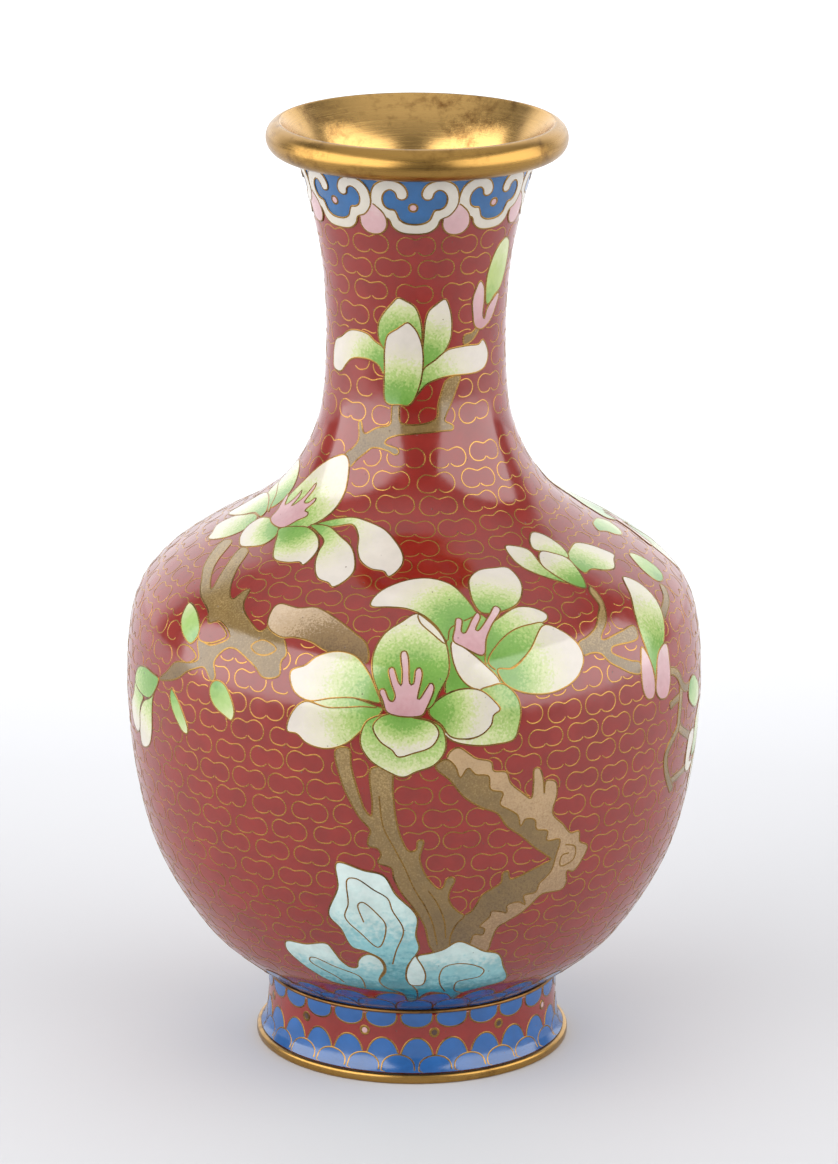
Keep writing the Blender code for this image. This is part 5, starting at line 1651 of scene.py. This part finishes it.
standing = arch_row(-5.1, 6.2, 0.0, foot_rise(5.8), FOOT, 0.6, 5)
scallops("foot_scallops_front", standing, ["foot_scallop_band_lower"])
scallops("foot_scallops_rear", arch_row(2.2, 6.4, 0.0, foot_rise(9.5), FOOT, 0.6, 6))
hanging = arch_row(1.8, 6.2, FOOT_LENGTH, foot_rise(11.9), FOOT, 0.6, 7)
scallops("foot_scallops_hanging", hanging, ["foot_scallop_band_upper"])
FOOT_SEED = 0.8
foot_seeds = [(8.8 + 2 * PITCH * (number - 6), foot_rise(10.8)) for number in range(SCALLOPS // 2)]
foot_rings = [ring_line(seed, SEED_RING, FOOT, 2) for seed in foot_seeds]
full = [round_cell(seed, FOOT_SEED, FOOT) for number, seed in enumerate(foot_seeds) if number % 3 == 2]
empty = [
    round_cell(seed, FOOT_SEED, FOOT, (0.0, 0.2)) for number, seed in enumerate(foot_seeds) if number % 3 != 2
]
picture("foot_seeds", full, PINK_GLASS, "pink_enamel")
picture("foot_pits", empty, PIT_GLASS, "red_enamel", (), foot_rings)
print("seeds on the foot:", len(full), "full and", len(empty), "empty")

# %% [markdown]
# ## Laying the picture
#
# Now the cells are made. A cell lies one layer above any cell behind it that it overlaps. The wires
# follow each outline, and stop where a nearer cell begins.

# %% Glass and its wires
def overlapping(one, other):
    """Whether two cells share any ground."""
    if one.outline is not other.outline:
        return False
    if (one.loop.min(0) > other.loop.max(0)).any() or (one.loop.max(0) < other.loop.min(0)).any():
        return False
    return bool(covered(one.loop, other.loop).any() or covered(other.loop, one.loop).any())


every_cell = [cell for group in PICTURE for cell in group[1]]
for index in range(len(every_cell) - 1, -1, -1):
    cell = every_cell[index]
    behind = [other.layer + 1 for other in every_cell[index + 1 :] if overlapping(cell, other)]
    cell.layer = max(behind, default=1)
print("cells:", len(every_cell), "deepest stack:", max(cell.layer for cell in every_cell))

nearer = {id(BODY): [], id(FOOT): []}
picture_wires = []
for name, cells, finish, slot, replaced, lines in PICTURE:
    glass_piece(name, cells, finish, replaced)
    for cell in cells:
        before = nearer[id(cell.outline)]
        for run, closed in uncovered_runs(*cell.fence(), before):
            picture_wires.append((run, closed, cell.outline, cell.layer))
        before.append(cell.loop)
    for line, closed, outline, layer in lines:
        own = [cell.loop for cell in cells]
        top_layer = max(cell.layer for cell in cells)
        others = [loop for loop in nearer[id(outline)] if not any(loop is mine for mine in own)]
        for run, still_closed in uncovered_runs(line, closed, others):
            picture_wires.append((run, still_closed, outline, top_layer))
wire_piece("picture_wires", picture_wires)
print("wires round the picture:", len(picture_wires))

# %% [markdown]
# ## Cloud scrolls
#
# The red ground is strewn with small wire clouds, each bent from one strip into two rounded lobes. They
# aren't only ornament: they hold the wide field of glass to the copper. Each row is offset from the one
# below, and where a cloud meets the picture the wire is simply cut short.

# %% Scrolls
CLOUD_PITCH = 9.26
ROW_PITCH = 5.26
NECK_PITCH = 5.3
CLOUD_WIRE = 0.00031
CLOUD_TOP = 0.00004
dice = np.random.default_rng(11)


def cloud(dice):
    """One cloud in millimetres about its middle: two lobes pinched at the waist, open below."""
    left = 2.05 + dice.uniform(-0.18, 0.14)
    right = 2.05 + dice.uniform(-0.18, 0.14)
    apart = 2.0 + dice.uniform(-0.12, 0.12)
    gap = dice.uniform(0.05, 0.4)
    waist = 0.55
    points = [(gap, -1.25), (0.5 + gap, -1.75)]
    for turn in (-100, -55, -10, 35, 80, 115):
        around = math.radians(turn)
        points.append((apart + right * math.cos(around), right * math.sin(around) * 1.02))
    points.append((0.0, 1.62 - waist * 0.2))
    for turn in (65, 100, 145, 190, 235, 280):
        around = math.radians(turn)
        points.append((-apart + left * math.cos(around), left * math.sin(around) * 1.02))
    points += [(-0.5, -1.75), (-0.1, -1.25)]
    lean = math.radians(dice.uniform(-4, 4))
    points = np.array(points)
    turned = np.array([[math.cos(lean), math.sin(lean)], [-math.sin(lean), math.cos(lean)]])
    return points @ turned


def cloud_lines(rows, blocking, dice):
    """Cloud wires on rows of (height, a centre on it), each cut where the picture begins."""
    lines = []
    for rise, phase in rows:
        per_degree = float(BODY.per_degree(rise))
        count = int(round(360 * per_degree / CLOUD_PITCH))
        for number in range(count):
            middle = phase + (number - count // 2) * 360 / count
            middle = (middle + 180) % 360 - 180
            shape = cloud(dice)
            shift = dice.uniform(-0.3, 0.3, 2)
            corners = (shape + shift) / np.array([per_degree, 1.0]) + np.array([middle, rise])
            line = drawn(corners, BODY, False, 0.5)
            for run, _ in uncovered_runs(line, False, blocking):
                if len(run) > 6:
                    lines.append((run, False, BODY, 0))
    return lines


def grown(loop, outline, margin):
    """The loop moved outwards by some millimetres."""
    scale = scale_at(loop, outline)
    flat = loop * scale
    if area_of(flat) < 0:
        flat = flat[::-1]
    along = np.roll(flat, -1, axis=0) - np.roll(flat, 1, axis=0)
    along /= np.linalg.norm(along, axis=1)[:, None] + 1e-9
    return (flat + margin * np.stack([along[:, 1], -along[:, 0]], -1)) / scale


body_loops = [grown(cell.loop, BODY, 0.25) for cell in every_cell if cell.outline is BODY]
belly_rows = [(68.4 + ROW_PITCH * step, -34.0 + (4.4 if step % 2 else 0)) for step in range(-10, 16)]
neck_rows = [(193.0 - NECK_PITCH * step, -1.0 + (13.5 if step % 2 else 0)) for step in range(8)]
for name, rows in (
    ("cloud_wires_low", belly_rows[:9]),
    ("cloud_wires_belly", belly_rows[9:17]),
    ("cloud_wires_shoulder", belly_rows[17:]),
    ("cloud_wires_neck", neck_rows),
):
    lines = cloud_lines(rows, body_loops, dice)
    piece = wire_piece(name, lines, width=CLOUD_WIRE, top=CLOUD_TOP, finish=CLOUD_BRASS)
    print(name, len(lines), "wires,", len(piece.data.polygons), "faces")
